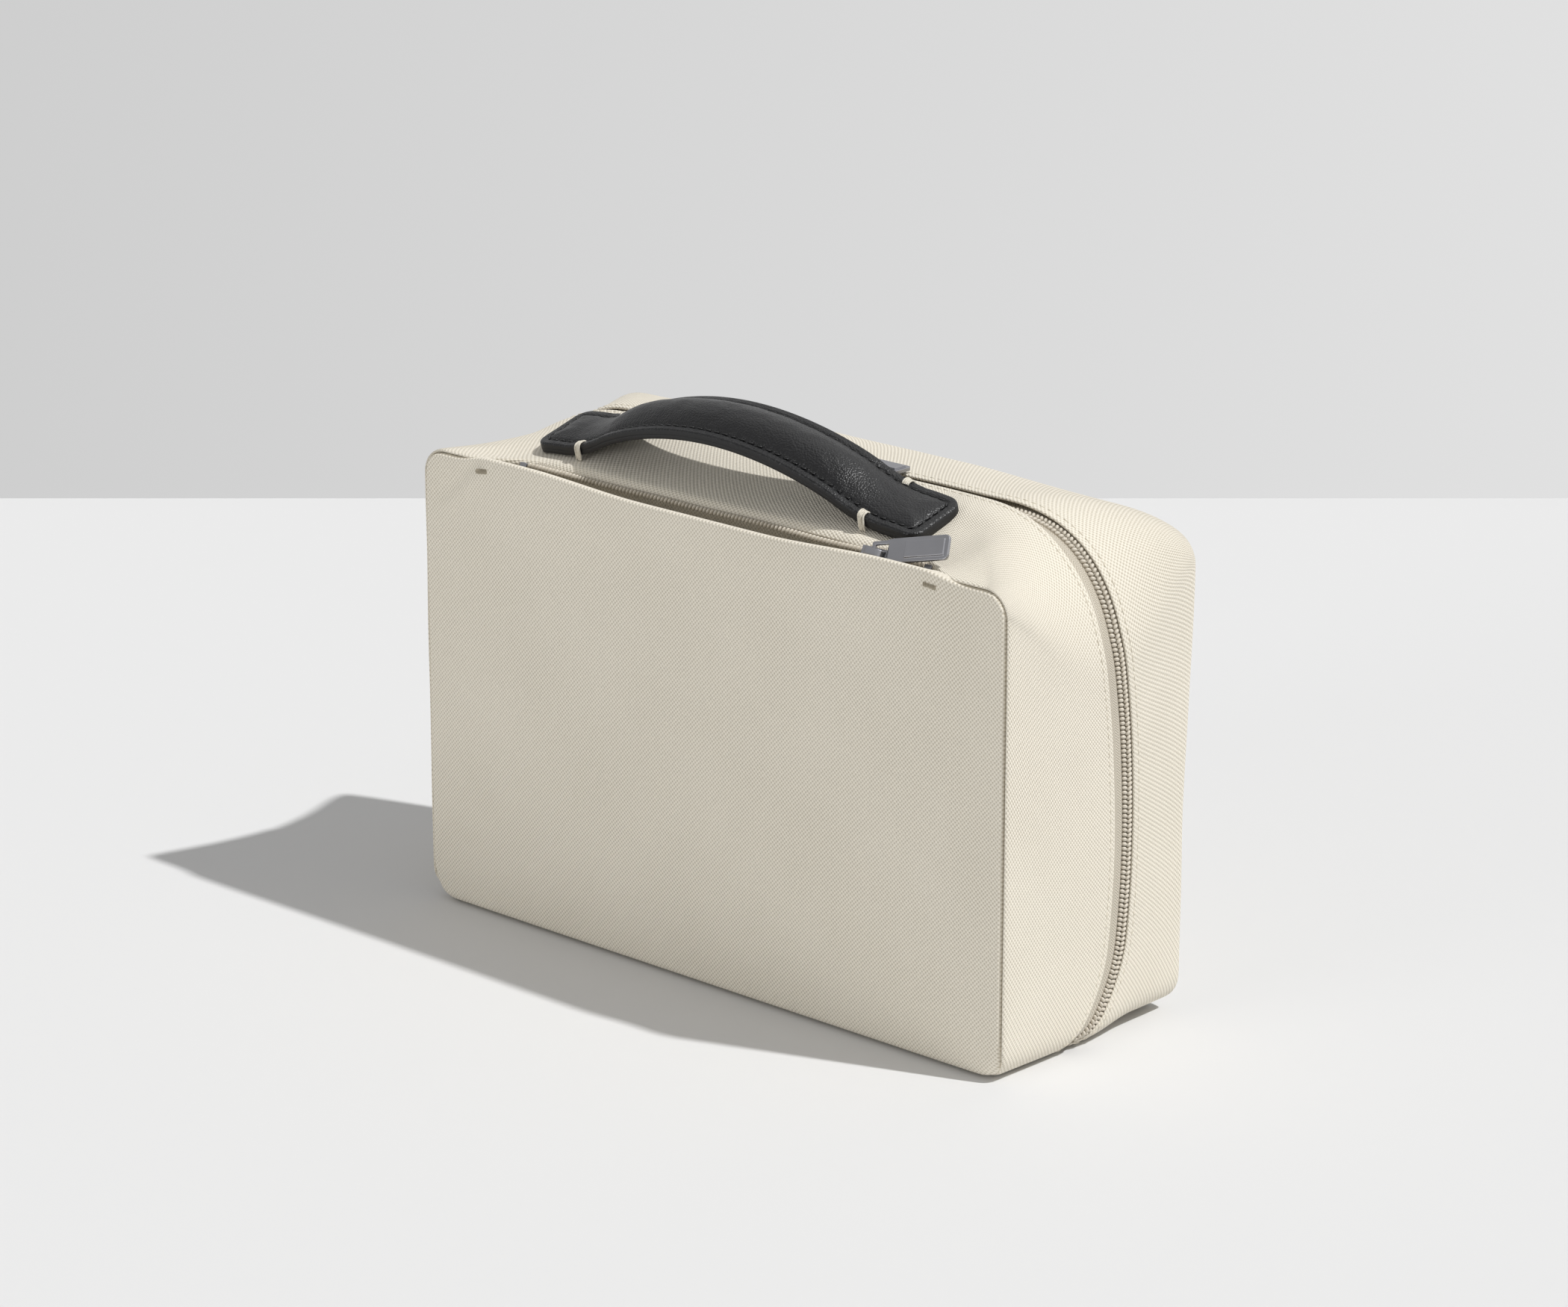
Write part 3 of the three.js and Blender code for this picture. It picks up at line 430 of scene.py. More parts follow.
def woven(name, light_hex, shade_hex, thread, strength, roughness, sheen):
    """Plain-woven cloth, which to the eye is a fine field of staggered dots: each thread goes over
    one and under the next. The crowns of the threads are painted lighter and the hollows between
    them darker, as painted light and shade. The yarns vary a little in place and tone, the cloth in
    patches."""
    material, tree, shader = new_material(name, Roughness=roughness, IOR=1.45,
                                          Sheen_Weight=sheen, Sheen_Roughness=0.5)
    cloth = add_node(tree, "ShaderNodeUVMap", {"uv_map": "cloth"})
    wobble = add_node(tree, "ShaderNodeTexNoise",
                      Vector=cloth.outputs["UV"], Scale=900.0, Detail=1.0)
    scaled = add_node(tree, "ShaderNodeVectorMath", {"operation": "SCALE"},
                      i0=cloth.outputs["UV"], Scale=math.pi / (thread * MM))
    loose = add_node(tree, "ShaderNodeVectorMath", {"operation": "MULTIPLY_ADD"},
                     i0=wobble.outputs["Color"], i1=(0.7, 0.7, 0.0), i2=scaled.outputs[0])
    axes = add_node(tree, "ShaderNodeSeparateXYZ", i0=loose.outputs[0])
    over = maths(tree, "MULTIPLY", *(maths(tree, "SINE", axes.outputs[k]) for k in (0, 1)))
    height = add_node(tree, "ShaderNodeMapRange", i0=over, i1=-1.0, i2=1.0).outputs[0]
    cloudy = add_node(tree, "ShaderNodeTexNoise",
                      Vector=cloth.outputs["UV"], Scale=24.0, Detail=4.0)
    yarn = add_node(tree, "ShaderNodeTexNoise", Vector=scaled.outputs[0], Scale=0.9, Detail=1.0)
    # The weave's height paints the crowns lighter and the hollows darker, as painted light and
    # shade. The yarn and patch noise add the cloth's own tone.
    tone = maths(tree, "MULTIPLY_ADD", yarn.outputs["Fac"], 0.35, height)
    weave_shade_and_patches = maths(tree, "MULTIPLY_ADD", cloudy.outputs["Fac"], 0.25, tone)
    ramp = add_node(tree, "ShaderNodeMapRange", i0=weave_shade_and_patches, i1=0.25, i2=0.95)
    coloured(tree, shader, ramp.outputs[0], shade_hex, light_hex)
    raised(tree, shader, height, strength, 0.35)
    return material


polyester = woven("woven_polyester", CLOTH_HEX, CLOTH_SHADE_HEX, THREAD_MM, 0.65, 0.82, 0.12)


def cloth_piece(name, bm, body, node):
    piece = new_piece(name, bm, polyester, body, node)
    thicken(piece, CLOTH)


bm = skin_from_profiles([front_profile(station) for station in RING[:-1]])
bmesh.ops.recalc_face_normals(bm, faces=bm.faces)
cloth_piece("gusset_front", bm, "front_half", "front_gusset")

# ------------------------------
# The back gusset: the same cloth, round the back half. Its flap meets the front one on top and
# stands away from it down the sides. It is sewn to the back panel in the same kind of seam.


def back_profile(station):
    edge = zip_depth(station) + half_slit(station)
    start, stop = edge + FLAP_FOLD, BACK - SEAM_EDGE[-1][1]
    skin = [outline(station, start + (stop - start) * i / BACK_ROWS) for i in range(BACK_ROWS + 1)]
    roll = [outline(station, BACK - deep, inset) for inset, deep in SEAM_EDGE[-2::-1]]
    return [softened(point) for point in flap(station, edge, 1)[::-1] + skin + roll]


bm = skin_from_profiles([back_profile(station) for station in RING[:-1]])
bmesh.ops.recalc_face_normals(bm, faces=bm.faces)
cloth_piece("gusset_back", bm, "back_half", "back_gusset")

# ------------------------------
# The front panel: one flat piece of the same polyester over the pocket. Three of its sides are
# sewn into the seam. Between the two bar tacks its top edge is free and turned in as a hem.
PANEL_INSET, PANEL_FOOT, PANEL_ROLL, PANEL_GROOVE = 1.5, 0.5, 0.7, 2.6
PANEL_TOP = HEIGHT - PANEL_INSET
ROLL_FADE = (5, 14)
# The filled bag's bulge: its height, half width, middle, half height and upper end.
PANEL_BULGE, BULGE_HALF, BULGE_MIDDLE, BULGE_TALL, BULGE_TOP = 1.2, 125, 76, 80, 158
# Waves in the cloth, by height and length. They die out towards a rim.
PANEL_WAVE, PANEL_WAVE_MM, RIM_CALM = 0.55, 46, 12
HEM, HEM_ABOVE, HEM_SHORT = 11, 150, 6
MOUTH_FADE = (-8, 10)
# The mouth's edge is lowest in the middle, where it sags between two distances from it, and it
# hangs a little forward. The cloth is drawn up to it above MOUTH_FROM.
MOUTH_LOW, MOUTH_SAG, SAG_ALONG, MOUTH_FROM = 156.0, 2.1, (25, 80), 120
MOUTH_HANG, HANG_RISE = 1.2, (128, 156)
# Where the bar tacks dent the cloth, as (along, up), and how deep and wide.
DENT_AT, DENT_DEEP, DENT_WIDE = (95, 153.5), 0.45, 3
# The fold from the left bar tack down towards the corner, with the hollow beside it, each as
# (height, distance from the line, width). It fades at both ends, by shares of its length.
CREASE_FROM, CREASE_TO = (-97.5, 154.3), (-119, 136)
CREASE_BAND = (-0.25, 0.1, 0.5, 1.2)
RIDGE, HOLLOW = (0.9, 1.2, 2.2), (-0.81, -2.2, 2.6)


def spread(share, half, edge, rim_share):
    """Sets grid lines close together near the rim, where the cloth turns."""
    size = abs(share)
    if size < 1 - rim_share:
        place = size / (1 - rim_share) * (half - edge)
    else:
        place = half - edge + (size - 1 + rim_share) / rim_share * edge
    return math.copysign(place, share)


def rounded_panel(half, low, high, corner_low, corner_high, columns, rows, place_at,
                  edge=3.0, rim_shares=(0.16, 0.16)):
    """A panel with round corners from a grid. place_at takes x, z and the distance to the rim."""
    bm = bmesh.new()
    bmesh.ops.create_grid(bm, x_segments=columns, y_segments=rows, size=0.5)
    middle, tall = (low + high) / 2, (high - low) / 2
    placed = {}
    for vertex in bm.verts:
        x = spread(2 * vertex.co.x, half, edge, rim_shares[0])
        z = spread(2 * vertex.co.y, tall, edge, rim_shares[1])
        radius = corner_high if z > 0 else corner_low
        a, b = (abs(x) - half + radius) / radius, (abs(z) - tall + radius) / radius
        rim = min(half - abs(x), tall - abs(z))
        if a > 0 and b > 0:
            a, b = a * math.sqrt(1 - b * b / 2), b * math.sqrt(1 - a * a / 2)
            x = math.copysign(half - radius + a * radius, x)
            z = math.copysign(tall - radius + b * radius, z)
            rim = radius * (1 - math.hypot(a, b))
        placed[vertex] = (x, middle + z, max(rim, 0))
    uv = bm.loops.layers.uv.new("cloth")
    for face in bm.faces:
        for loop in face.loops:
            x, z, rim = placed[loop.vert]
            loop[uv].uv = (x * MM, z * MM)
    for vertex, (x, z, rim) in placed.items():
        x, y, z = place_at(x, z, rim)
        vertex.co = Vector((x, y, z)) * MM
    return bm


def rolled(radius, rim):
    """How far a rounded rim has turned back at a distance from its edge."""
    return radius - math.sqrt(max(radius ** 2 - max(radius - rim, 0) ** 2, 0))


def turned_over(bm, by, edges=None):
    """Draws a sheet's rim, or some edges, out by a vector, and gives the new vertices and edges."""
    edges = edges or [edge for edge in bm.edges if edge.is_boundary]
    made = bmesh.ops.extrude_edge_only(bm, edges=edges)["geom"]
    verts = [part for part in made if isinstance(part, bmesh.types.BMVert)]
    bmesh.ops.translate(bm, verts=verts, vec=by)
    return verts, [part for part in made if isinstance(part, bmesh.types.BMEdge)]


def facing_out(bm, side):
    """Turns a panel's faces outwards: side is -1 for the front and 1 for the back."""
    bmesh.ops.recalc_face_normals(bm, faces=bm.faces)
    if side * sum(face.normal.y for face in bm.faces) < 0:
        bmesh.ops.reverse_faces(bm, faces=bm.faces)


def crease(x, z):
    """The height of the fold that the left bar tack pulls into the cloth."""
    start, end = Vector(CREASE_FROM), Vector(CREASE_TO)
    line = end - start
    along = (Vector((x, z)) - start).dot(line) / line.length_squared
    off = (Vector((x, z)) - start - line * along).dot(line.orthogonal().normalized())
    height = sum(high * math.exp(-((off - at) / wide) ** 2) for high, at, wide in (RIDGE, HOLLOW))
    return band(along, *CREASE_BAND) * height


def at_mouth(x):
    """1 along the mouth's free edge, falling to 0 past the bar tacks."""
    return smooth(MOUTH_LENGTH / 2 - abs(x), *MOUTH_FADE)


def front_depth(x, z, rim):
    """The front panel's depth at a place, and at a distance from its rim."""
    radius = PANEL_ROLL + (BOTTOM_ROLL - PANEL_ROLL) * (1 - smooth(z, *ROLL_FADE))
    bulge = PANEL_BULGE * (1 - (x / BULGE_HALF) ** 4) * (1 - ((z - BULGE_MIDDLE) / BULGE_TALL) ** 4)
    bulge = bulge if z < BULGE_TOP else 0
    waves = PANEL_WAVE * noise.noise(Vector((x, z, 7)) / PANEL_WAVE_MM) * min(rim / RIM_CALM, 1)
    dent = DENT_DEEP * math.exp(-math.dist((abs(x), z), DENT_AT) ** 2 / DENT_WIDE ** 2)
    hangs = MOUTH_HANG * at_mouth(x) * smooth(z, *HANG_RISE)
    return FRONT + rolled(radius, rim) - bulge - waves + dent - hangs - crease(x, z)


def front_surface(x, z, rim):
    if z > MOUTH_FROM:
        drawn = MOUTH_LOW + MOUTH_SAG * smooth(abs(x), *SAG_ALONG) - PANEL_TOP
        z += (z - MOUTH_FROM) / (PANEL_TOP - MOUTH_FROM) * at_mouth(x) * drawn
    return x, front_depth(x, z, rim), z


bm = rounded_panel(WIDTH / 2 - SIDE_SWELL - PANEL_INSET, PANEL_FOOT, PANEL_TOP,
                   BASE_CORNER - PANEL_INSET, SEAM_CORNER - PANEL_INSET, 110, 72, front_surface)
rim_verts, rim_edges = turned_over(bm, (0, PANEL_GROOVE * MM, 0))
hem_half = MOUTH_LENGTH / 2 - HEM_SHORT
hem_verts = {v for v in rim_verts if v.co.z > HEM_ABOVE * MM and abs(v.co.x) < hem_half * MM}
turned_over(bm, (0, 0, -HEM * MM), [edge for edge in rim_edges if hem_verts.issuperset(edge.verts)])
facing_out(bm, -1)
cloth_piece("panel_front", bm, "front_half", "front_panel")

# ------------------------------
# The back panel: the same cloth, backed by a sewn-in pad so that the bag lies flat when it is open.
BACK_BULGE, BACK_BULGE_RIM, BACK_TALLER = 0.8, 25, 0.6
BACK_WAVE, BACK_WAVE_MM = 0.5, 50


def back_surface(x, z, rim):
    bulge = BACK_BULGE * min(rim / BACK_BULGE_RIM, 1)
    waves = BACK_WAVE * noise.noise(Vector((x, z, 31)) / BACK_WAVE_MM) * min(rim / RIM_CALM, 1)
    fallen = CROWN_FALL * smooth(abs(x), *FALL_ALONG) * smooth(z, *TOP_BAND)
    y = BACK - rolled(PANEL_ROLL, rim) + bulge + waves + lean(BACK, z)
    return x, y, z + lifted(BACK, z) - fallen


bm = rounded_panel(WIDTH / 2 - SIDE_SWELL - PANEL_INSET, PANEL_INSET, PANEL_TOP + BACK_TALLER,
                   BASE_CORNER - PANEL_INSET, SEAM_CORNER - PANEL_INSET, 80, 52, back_surface)
turned_over(bm, (0, -PANEL_GROOVE * MM, 0))
facing_out(bm, 1)
cloth_piece("panel_back", bm, "back_half", "back_panel")

# ------------------------------
# The top-stitching beside the main zip: cream polyester thread in stitches of 2.5 mm that sink a
# little into the cloth, 2.3 mm from the edge of each flap. It ends where the base begins.
STITCH, STITCH_PITCH = (2.5, 0.42, 0.42), 3.1
STITCH_IN, STITCH_PROUD = 2.3, 0.02
THREAD_HEX, THREAD_SHADE_HEX = "f1ebdd", "cfc5b0"


def fine_noise(tree, scale, detail):
    """Noise that stays with the piece, with its scale per metre."""
    space = add_node(tree, "ShaderNodeTexCoord")
    return add_node(tree, "ShaderNodeTexNoise",
                    Vector=space.outputs["Object"], Scale=scale, Detail=detail).outputs["Fac"]


sewing_thread, tree, shader = new_material("polyester_sewing_thread",
                                           Roughness=0.6, IOR=1.45, Sheen_Weight=0.2)
coloured(tree, shader, fine_noise(tree, 1800.0, 2.0), THREAD_SHADE_HEX, THREAD_HEX)

ZIP_RING = [s for s in RING if s[1] != "base"]


def walk(points, pitch, start=0.0):
    """Even steps along a line of points, as (index, share) of the piece of line they fall on."""
    gone, due, steps = 0.0, start, []
    for i, (a, b) in enumerate(zip(points, points[1:])):
        length = (b - a).length
        while length > 0 and due <= gone + length:
            steps.append((i, (due - gone) / length))
            due += pitch
        gone += length
    return steps


def beads(line, outward, pitch, size, start=0.0, turned=0.0, faces=1):
    """Small rounded bodies along a line, of a size along, across and up, turned about up."""
    bm = bmesh.new()
    for i, share in walk(line, pitch, start):
        ahead = (line[i + 1] - line[i]).normalized()
        up = outward[i].lerp(outward[i + 1], share).normalized()
        across = up.cross(ahead).normalized()
        ahead = across.cross(up).normalized()
        axes = Matrix((ahead, across, up)).transposed().to_4x4()
        place = Matrix.Translation(line[i].lerp(line[i + 1], share) * MM) @ axes
        shape = Matrix.Rotation(turned, 4, "Z") @ Matrix.Diagonal((*Vector(size) / 2 * MM, 1))
        bmesh.ops.create_icosphere(bm, subdivisions=faces, radius=1, matrix=place @ shape)
    return bm


def flap_line(reach, inset):
    """A line beside the zip, and the cloth's outward directions along it."""
    line, outward = [], []
    for station in ZIP_RING:
        y = zip_depth(station) + reach(station)
        line.append(softened(outline(station, y, inset(station))))
        outward.append(outline(station, y, 0) - outline(station, y, 1))
    return line, outward


# The two halves, with the side of the zip on which each lies.
HALVES = (("front", -1), ("back", 1))
for half, side in HALVES:
    line, outward = flap_line(lambda s: side * (half_slit(s) + STITCH_IN), lambda s: -STITCH_PROUD)
    bm = beads(line, outward, STITCH_PITCH, STITCH)
    new_piece(f"stitches_{half}_flap", bm, sewing_thread, f"{half}_half")

# ------------------------------
# The main zip's tapes: woven herringbone polyester, sewn under the flaps and dipping to the coil.
# The tape's lighter tone is painted on its ribs and the darker one in the grooves between them, as
# painted light and shade of the herringbone.
TAPE_HEX, TAPE_SHADE_HEX = "d8d0c0", "a79d8b"
TAPE_THICK = 0.5
# The tape's section: reach from the zip's line, depth under the skin on top, and down the sides.
TAPE_PATH = [(13.7, 1.3, 1.3), (10.5, 1.3, 1.2), (8.7, 1.35, 1.1), (6.6, 2.4, 1.1), (4.9, 3.3, 1.1),
             (3.5, 3.4, 1.2), (2.6, 3.4, 1.4), (1.6, 3.6, 1.9), (0.2, 4.2, 2.3)]
# Down the sides the chain lies behind the slit's middle, and the back tape a little deeper.
CHAIN_SHIFT, BACK_DEEPER = 2.1, 0.5
# The herringbone's bands, each ribbed the other way.
BAND_MM, RIB_MM = 1.6, 0.9

zip_tape, tree, shader = new_material("herringbone_zip_tape",
                                      Roughness=0.5, IOR=1.5, Sheen_Weight=0.15)
cloth = add_node(tree, "ShaderNodeUVMap", {"uv_map": "cloth"})
axes = add_node(tree, "ShaderNodeSeparateXYZ", i0=cloth.outputs["UV"])
bands = maths(tree, "PINGPONG", axes.outputs[1], BAND_MM * MM)
slope = maths(tree, "ADD", axes.outputs[0], bands)
rib = maths(tree, "SINE", maths(tree, "MULTIPLY", slope, 2 * math.pi / (RIB_MM * MM)))
height = add_node(tree, "ShaderNodeMapRange", i0=rib, i1=-1.0, i2=1.0).outputs[0]
# The rib height paints the ribs lighter and the grooves darker, as painted light and shade.
coloured(tree, shader, height, TAPE_SHADE_HEX, TAPE_HEX)
raised(tree, shader, height, 0.6, 0.2)


def tape_profile(station, side):
    """The tape's section at a station, on the front side (-1) or the back side (1) of the chain."""
    opened = zip_open(station)
    middle = zip_depth(station) + CHAIN_SHIFT * opened
    deeper = BACK_DEEPER if side > 0 else 0
    return [softened(outline(station, middle + side * reach, top + (low + deeper - top) * opened))
            for reach, top, low in TAPE_PATH[::-side]]


for half, side in HALVES:
    bm = skin_from_profiles([tape_profile(station, side) for station in ZIP_RING], closed=False)
    bmesh.ops.recalc_face_normals(bm, faces=bm.faces)
    tape = new_piece(f"tape_{half}", bm, zip_tape, f"{half}_half", f"{half}_zip_tape")
    thicken(tape, TAPE_THICK)

# ------------------------------
# The main zip's coils: a spiral of nylon monofilament, size 5, woven onto each tape's edge. Closed,
# the two rows of loops slant against each other like a plait.
COIL_LOOP, COIL_PITCH, COIL_START = (1.3, 2.25, 1.7), 1.53, 0.5
COIL_SLANT, COIL_REACH = math.radians(24), 1.12
COIL_DEEP, COIL_SHALLOW = 3.5, 0.9
COIL_HEX, COIL_SHADE_HEX = "e0d9cb", "bdb3a2"

nylon_coil, tree, shader = new_material("nylon_zip_coil", Roughness=0.38, IOR=1.53)
coloured(tree, shader, fine_noise(tree, 420.0, 3.0), COIL_SHADE_HEX, COIL_HEX)

for half, side in HALVES:
    line, outward = flap_line(lambda s: side * COIL_REACH + CHAIN_SHIFT * zip_open(s),
                              lambda s: COIL_DEEP + (COIL_SHALLOW - COIL_DEEP) * zip_open(s))
    start = COIL_START + (COIL_PITCH / 2 if side > 0 else 0)
    bm = beads(line, outward, COIL_PITCH, COIL_LOOP, start, side * COIL_SLANT, faces=2)
    coil = new_piece(f"coil_{half}", bm, nylon_coil, f"{half}_half", f"{half}_zip_coil")

# ------------------------------
# The padding: 3 mm open-cell foam all round both halves and behind the back panel. It is cut a
# little short of the seams and held between the cloth and the lining.
PADDING = 2.8
# The darker foam tone is painted shade in the pits of the pores.
FOAM_HEX, FOAM_SHADE_HEX = "efeee8", "cfcdc4"
RING_START, RING_STOP = -28.4, 38.2
RING_INSET = 2.8
TAPE_SEAM = 14.3
# The flat layers are given by depth, half width, bottom, top, corner and thickness.
BACK_FOAM = (41.2, 122.0, 1.5, 156.9, 14, PADDING)
LAYER_SWELL, LAYER_WAVE, LAYER_WAVE_MM = 0.2, 0.15, 40

foam, tree, shader = new_material("open_cell_foam", Roughness=0.95, IOR=1.4)
space = add_node(tree, "ShaderNodeTexCoord")
pores = add_node(tree, "ShaderNodeTexVoronoi", Vector=space.outputs["Object"], Scale=1600.0)
# The pores are painted darker at their pits, as painted shade. The same pattern gives the relief.
coloured(tree, shader, pores.outputs["Distance"], FOAM_SHADE_HEX, FOAM_HEX)
raised(tree, shader, pores.outputs["Distance"], 0.4, 0.2)


def ring_layer(name, half, inset, thickness, material, node):
    """A layer round one half, between the main zip's tape and the flat panel."""
    profiles = []
    for station in RING[:-1]:
        line = zip_depth(station)
        first, last = RING_START, line - TAPE_SEAM
        if half == "back":
            first, last = line + TAPE_SEAM, RING_STOP
        rows = [outline(station, first + (last - first) * i / 6, inset) for i in range(7)]
        profiles.append([softened(point, LAYER_SWELL) for point in rows])
    bm = skin_from_profiles(profiles)
    bmesh.ops.recalc_face_normals(bm, faces=bm.faces)
    layer = new_piece(name, bm, material, f"{half}_half", node)
    thicken(layer, thickness, 0, offset=0)
    return layer


def flat_layer(name, size, material, body, node):
    """A flat layer behind a panel, with the slight waves of cloth that is only held at its rim."""
    y, half, low, high, corner, thickness = size

    def surface(x, z, rim):
        wave = LAYER_WAVE * noise.noise(Vector((x, z, y)) / LAYER_WAVE_MM) * min(rim / RIM_CALM, 1)
        return x, y + wave, z

    bm = rounded_panel(half, low, high, BASE_CORNER, corner, 28, 18, surface)
    layer = new_piece(name, bm, material, body, node)
    thicken(layer, thickness, 0, offset=0)
    return layer


pads = [ring_layer(f"padding_{half}", half, RING_INSET, PADDING, foam, f"{half}_foam")
        for half, side in HALVES]
pads.append(flat_layer("padding_back_panel", BACK_FOAM, foam, "back_half", "back_panel_foam"))

# ------------------------------
# The lining: thin, smooth polyester in warm grey, on every inner face, and the wall between the
# pocket and the main space.
LINING, LINING_INSET = 0.5, 4.9
POCKET_LINING = (-41.9, 121.9, 1.5, 148.8, 9, 0.4)
DIVIDER_LINING = (-29.3, 121.6, 2.4, 155.8, 20, LINING)
BACK_LINING = (39.1, 122.0, 1.5, 160.0, 20, LINING)
POCKET_WALL = (-30.4, 121.6, 2.4, 155.8, 20, 0.9)
# Its two tones are painted on the crowns and in the hollows of the weave, as painted light and
# shade.
lining = woven("polyester_lining", "6f6b63", "5c5851", 0.45, 0.12, 0.55, 0.05)

for half, side in HALVES:
    layer = ring_layer(f"lining_{half}", half, LINING_INSET, LINING, lining, f"{half}_lining")
for name, size, body, node in (
        ("lining_pocket", POCKET_LINING, "front_half", "pocket_lining"),
        ("lining_divider", DIVIDER_LINING, "front_half", "divider_lining"),
        ("lining_back_panel", BACK_LINING, "back_half", "back_panel_lining")):
    flat_layer(name, size, lining, body, node)
wall = flat_layer("pocket_wall", POCKET_WALL, polyester, "front_half", "pocket_back_wall")

# ------------------------------
# The hinge webbing: a plain woven strip sewn inside over the fold of the base.
WEBBING_HALF, WEBBING_FROM, WEBBING_TO = 108, -21.5, 4.0
WEBBING_UP, WEBBING_THICK = 1.7, 0.7
# Its two tones are painted on the crowns and in the hollows of the weave, as painted light and
# shade.
webbing_cloth = woven("woven_webbing", "b9b09f", "857c6c", 1.2, 0.6, 0.7, 0.1)
across = [WEBBING_FROM + (WEBBING_TO - WEBBING_FROM) * i / 16 for i in range(17)]
strip = [[Vector((WEBBING_HALF * (k / 12 - 1), y, WEBBING_UP)) for y in across] for k in range(25)]
webbing = new_piece("hinge_webbing", skin_from_profiles(strip, closed=False), webbing_cloth,
                    None, "hinge_tape")
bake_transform(webbing)
thicken(webbing, WEBBING_THICK, 0)

# ------------------------------
# The pocket zip: the same size of coil, open. One half hangs inside the front panel, the other
# slants out from under the lip of the gusset. A crimped metal stop closes each end.
POCKET_COIL, POCKET_SLANT = (-34.4, 155.5), math.radians(60)
POCKET_HALF, POCKET_DRIFT = 85, 0.35
POCKET_LOOP, POCKET_TURN, POCKET_START = (1.05, 2.1, 1.7), math.radians(18), 0.6
# The tape beside each coil, as (depth, height): the back one slants, the front one hangs inside.
POCKET_TAPE = [(-34.6, 154.7), (-33.9, 155.2), (-33.2, 155.6), (-32.4, 156.1), (-31.4, 156.6),
               (-29.8, 156.9)]
HIDDEN_COIL = (-41.0, 153.5)
HIDDEN_TAPE = [(-41.1, 144.3), (-41.1, 147), (-41.1, 150), (-41.1, 152.6)]

out_of_tape = Vector((0, -math.sin(POCKET_SLANT), math.cos(POCKET_SLANT)))
columns = [-POCKET_HALF + POCKET_HALF * k / 20 for k in range(41)]


def pocket_drift(x):
    """The free edge isn't quite straight."""
    return POCKET_DRIFT * noise.noise(Vector((x / 30, 3, 5)))


line = [Vector((x, POCKET_COIL[0], POCKET_COIL[1] + pocket_drift(x))) for x in columns]
bm = beads(line, [out_of_tape] * len(line), COIL_PITCH, POCKET_LOOP, POCKET_START, -POCKET_TURN,
           faces=2)
new_piece("coil_pocket_back", bm, nylon_coil, "front_half", "pocket_back_coil")
strip = [[Vector((x, y, z + pocket_drift(x))) for y, z in POCKET_TAPE] for x in columns]
bm = skin_from_profiles(strip, closed=False)
tape = new_piece("tape_pocket_back", bm, zip_tape, "front_half", "pocket_back_tape")
thicken(tape, TAPE_THICK)

line = [Vector((x, *HIDDEN_COIL)) for x in columns]
inwards = Vector((0, 1, 0))
bm = beads(line, [inwards] * len(line), COIL_PITCH, POCKET_LOOP, POCKET_START, POCKET_TURN, faces=1)
new_piece("coil_pocket_front", bm, nylon_coil, "front_half", "pocket_front_coil")
strip = [[Vector((x, y, z)) for y, z in HIDDEN_TAPE] for x in columns]
bm = skin_from_profiles(strip, closed=False)
tape = new_piece("tape_pocket_front", bm, zip_tape, "front_half", "pocket_front_tape")
thicken(tape, TAPE_THICK, 0)

# ------------------------------
# The bar tacks: close satin stitches of the sewing thread that hold the two ends of the mouth. They
# draw the cloth in. Their thread is painted darker than the sewing thread, as painted shade among
# the close stitches.
BARTACK_LENGTH, BARTACK_PITCH, BARTACK_STITCH = 4.8, 0.55, (0.5, 1.9, 1.1)
BARTACK_START, BARTACK_PROUD, BARTACK_SHADED_HEX = 0.1, 0.1, "a89e8a"
# Each tack's piece and node, its middle along and up, and its slant.
BARTACKS = (("bartack_sewn_left", "bartack_left", -96.2, 153.4, 0.12),
            ("bartack_sewn_right", "bartack_right", 95.6, 153.3, -0.1))

# The tacks' colour is painted shade: the same cream thread, darkened.
tack_thread = new_material("bar_tack_thread_painted_shade", Base_Color=linear(BARTACK_SHADED_HEX),
                           Roughness=0.6, IOR=1.5, Sheen_Weight=0.2)[0]
for name, node, middle, height, tilt in BARTACKS:
    steps = [(i / 8 - 0.5) * BARTACK_LENGTH for i in range(9)]
    line = [(middle + step, height + tilt * step) for step in steps]
    line = [Vector((x, front_depth(x, z, HEM) - BARTACK_PROUD, z)) for x, z in line]
    bm = beads(line, [Vector((0, -1, 0))] * len(line), BARTACK_PITCH, BARTACK_STITCH, BARTACK_START)
    new_piece(name, bm, tack_thread, "front_half", node)

# ------------------------------
# The handle's upper side: black pebbled leather over padding, flat at its rim and crowned between
# the stitches. The cut edge is sealed with smooth black edge paint.
HANDLE_PLACE = (-7, -15.9, 162.78)
HANDLE_TILT = math.radians(15.71)
HANDLE_HALF, HANDLE_REACH, HANDLE_CORNER = 82, 12, 5
# The arch is a mean of six, set beside one another, so that it runs out softly at the tacks.
HANDLE_RISE, HANDLE_ARCH, ARCH_FULLNESS = 17, 118.8, 0.7
ARCH_SPREAD = (-7.5, -4.5, -1.5, 1.5, 4.5, 7.5)
TACK_AT, END_DROOP = 61, 2
RIM_HEIGHT, RIM_ROUND, RIM_WIDTH = 3.6, 0.6, 3.1
GROOVE_DEEP, GROOVE_WIDE = 0.42, 0.5
# The padding is full from its second distance from the strap's end, and thin before its first.
PAD_HEIGHT, PAD_FULLNESS, PAD_END_SHARE, PAD_RUN = 3.6, 2.1, 0.38, (12, 44)
LEATHER_FOLDS = 0.16
TOP_UNDERSIDE = 1.6
LEATHER_HEX, EDGE_HEX = "0d0d0f", "0d0d0f"
PEBBLE_MM = 0.6

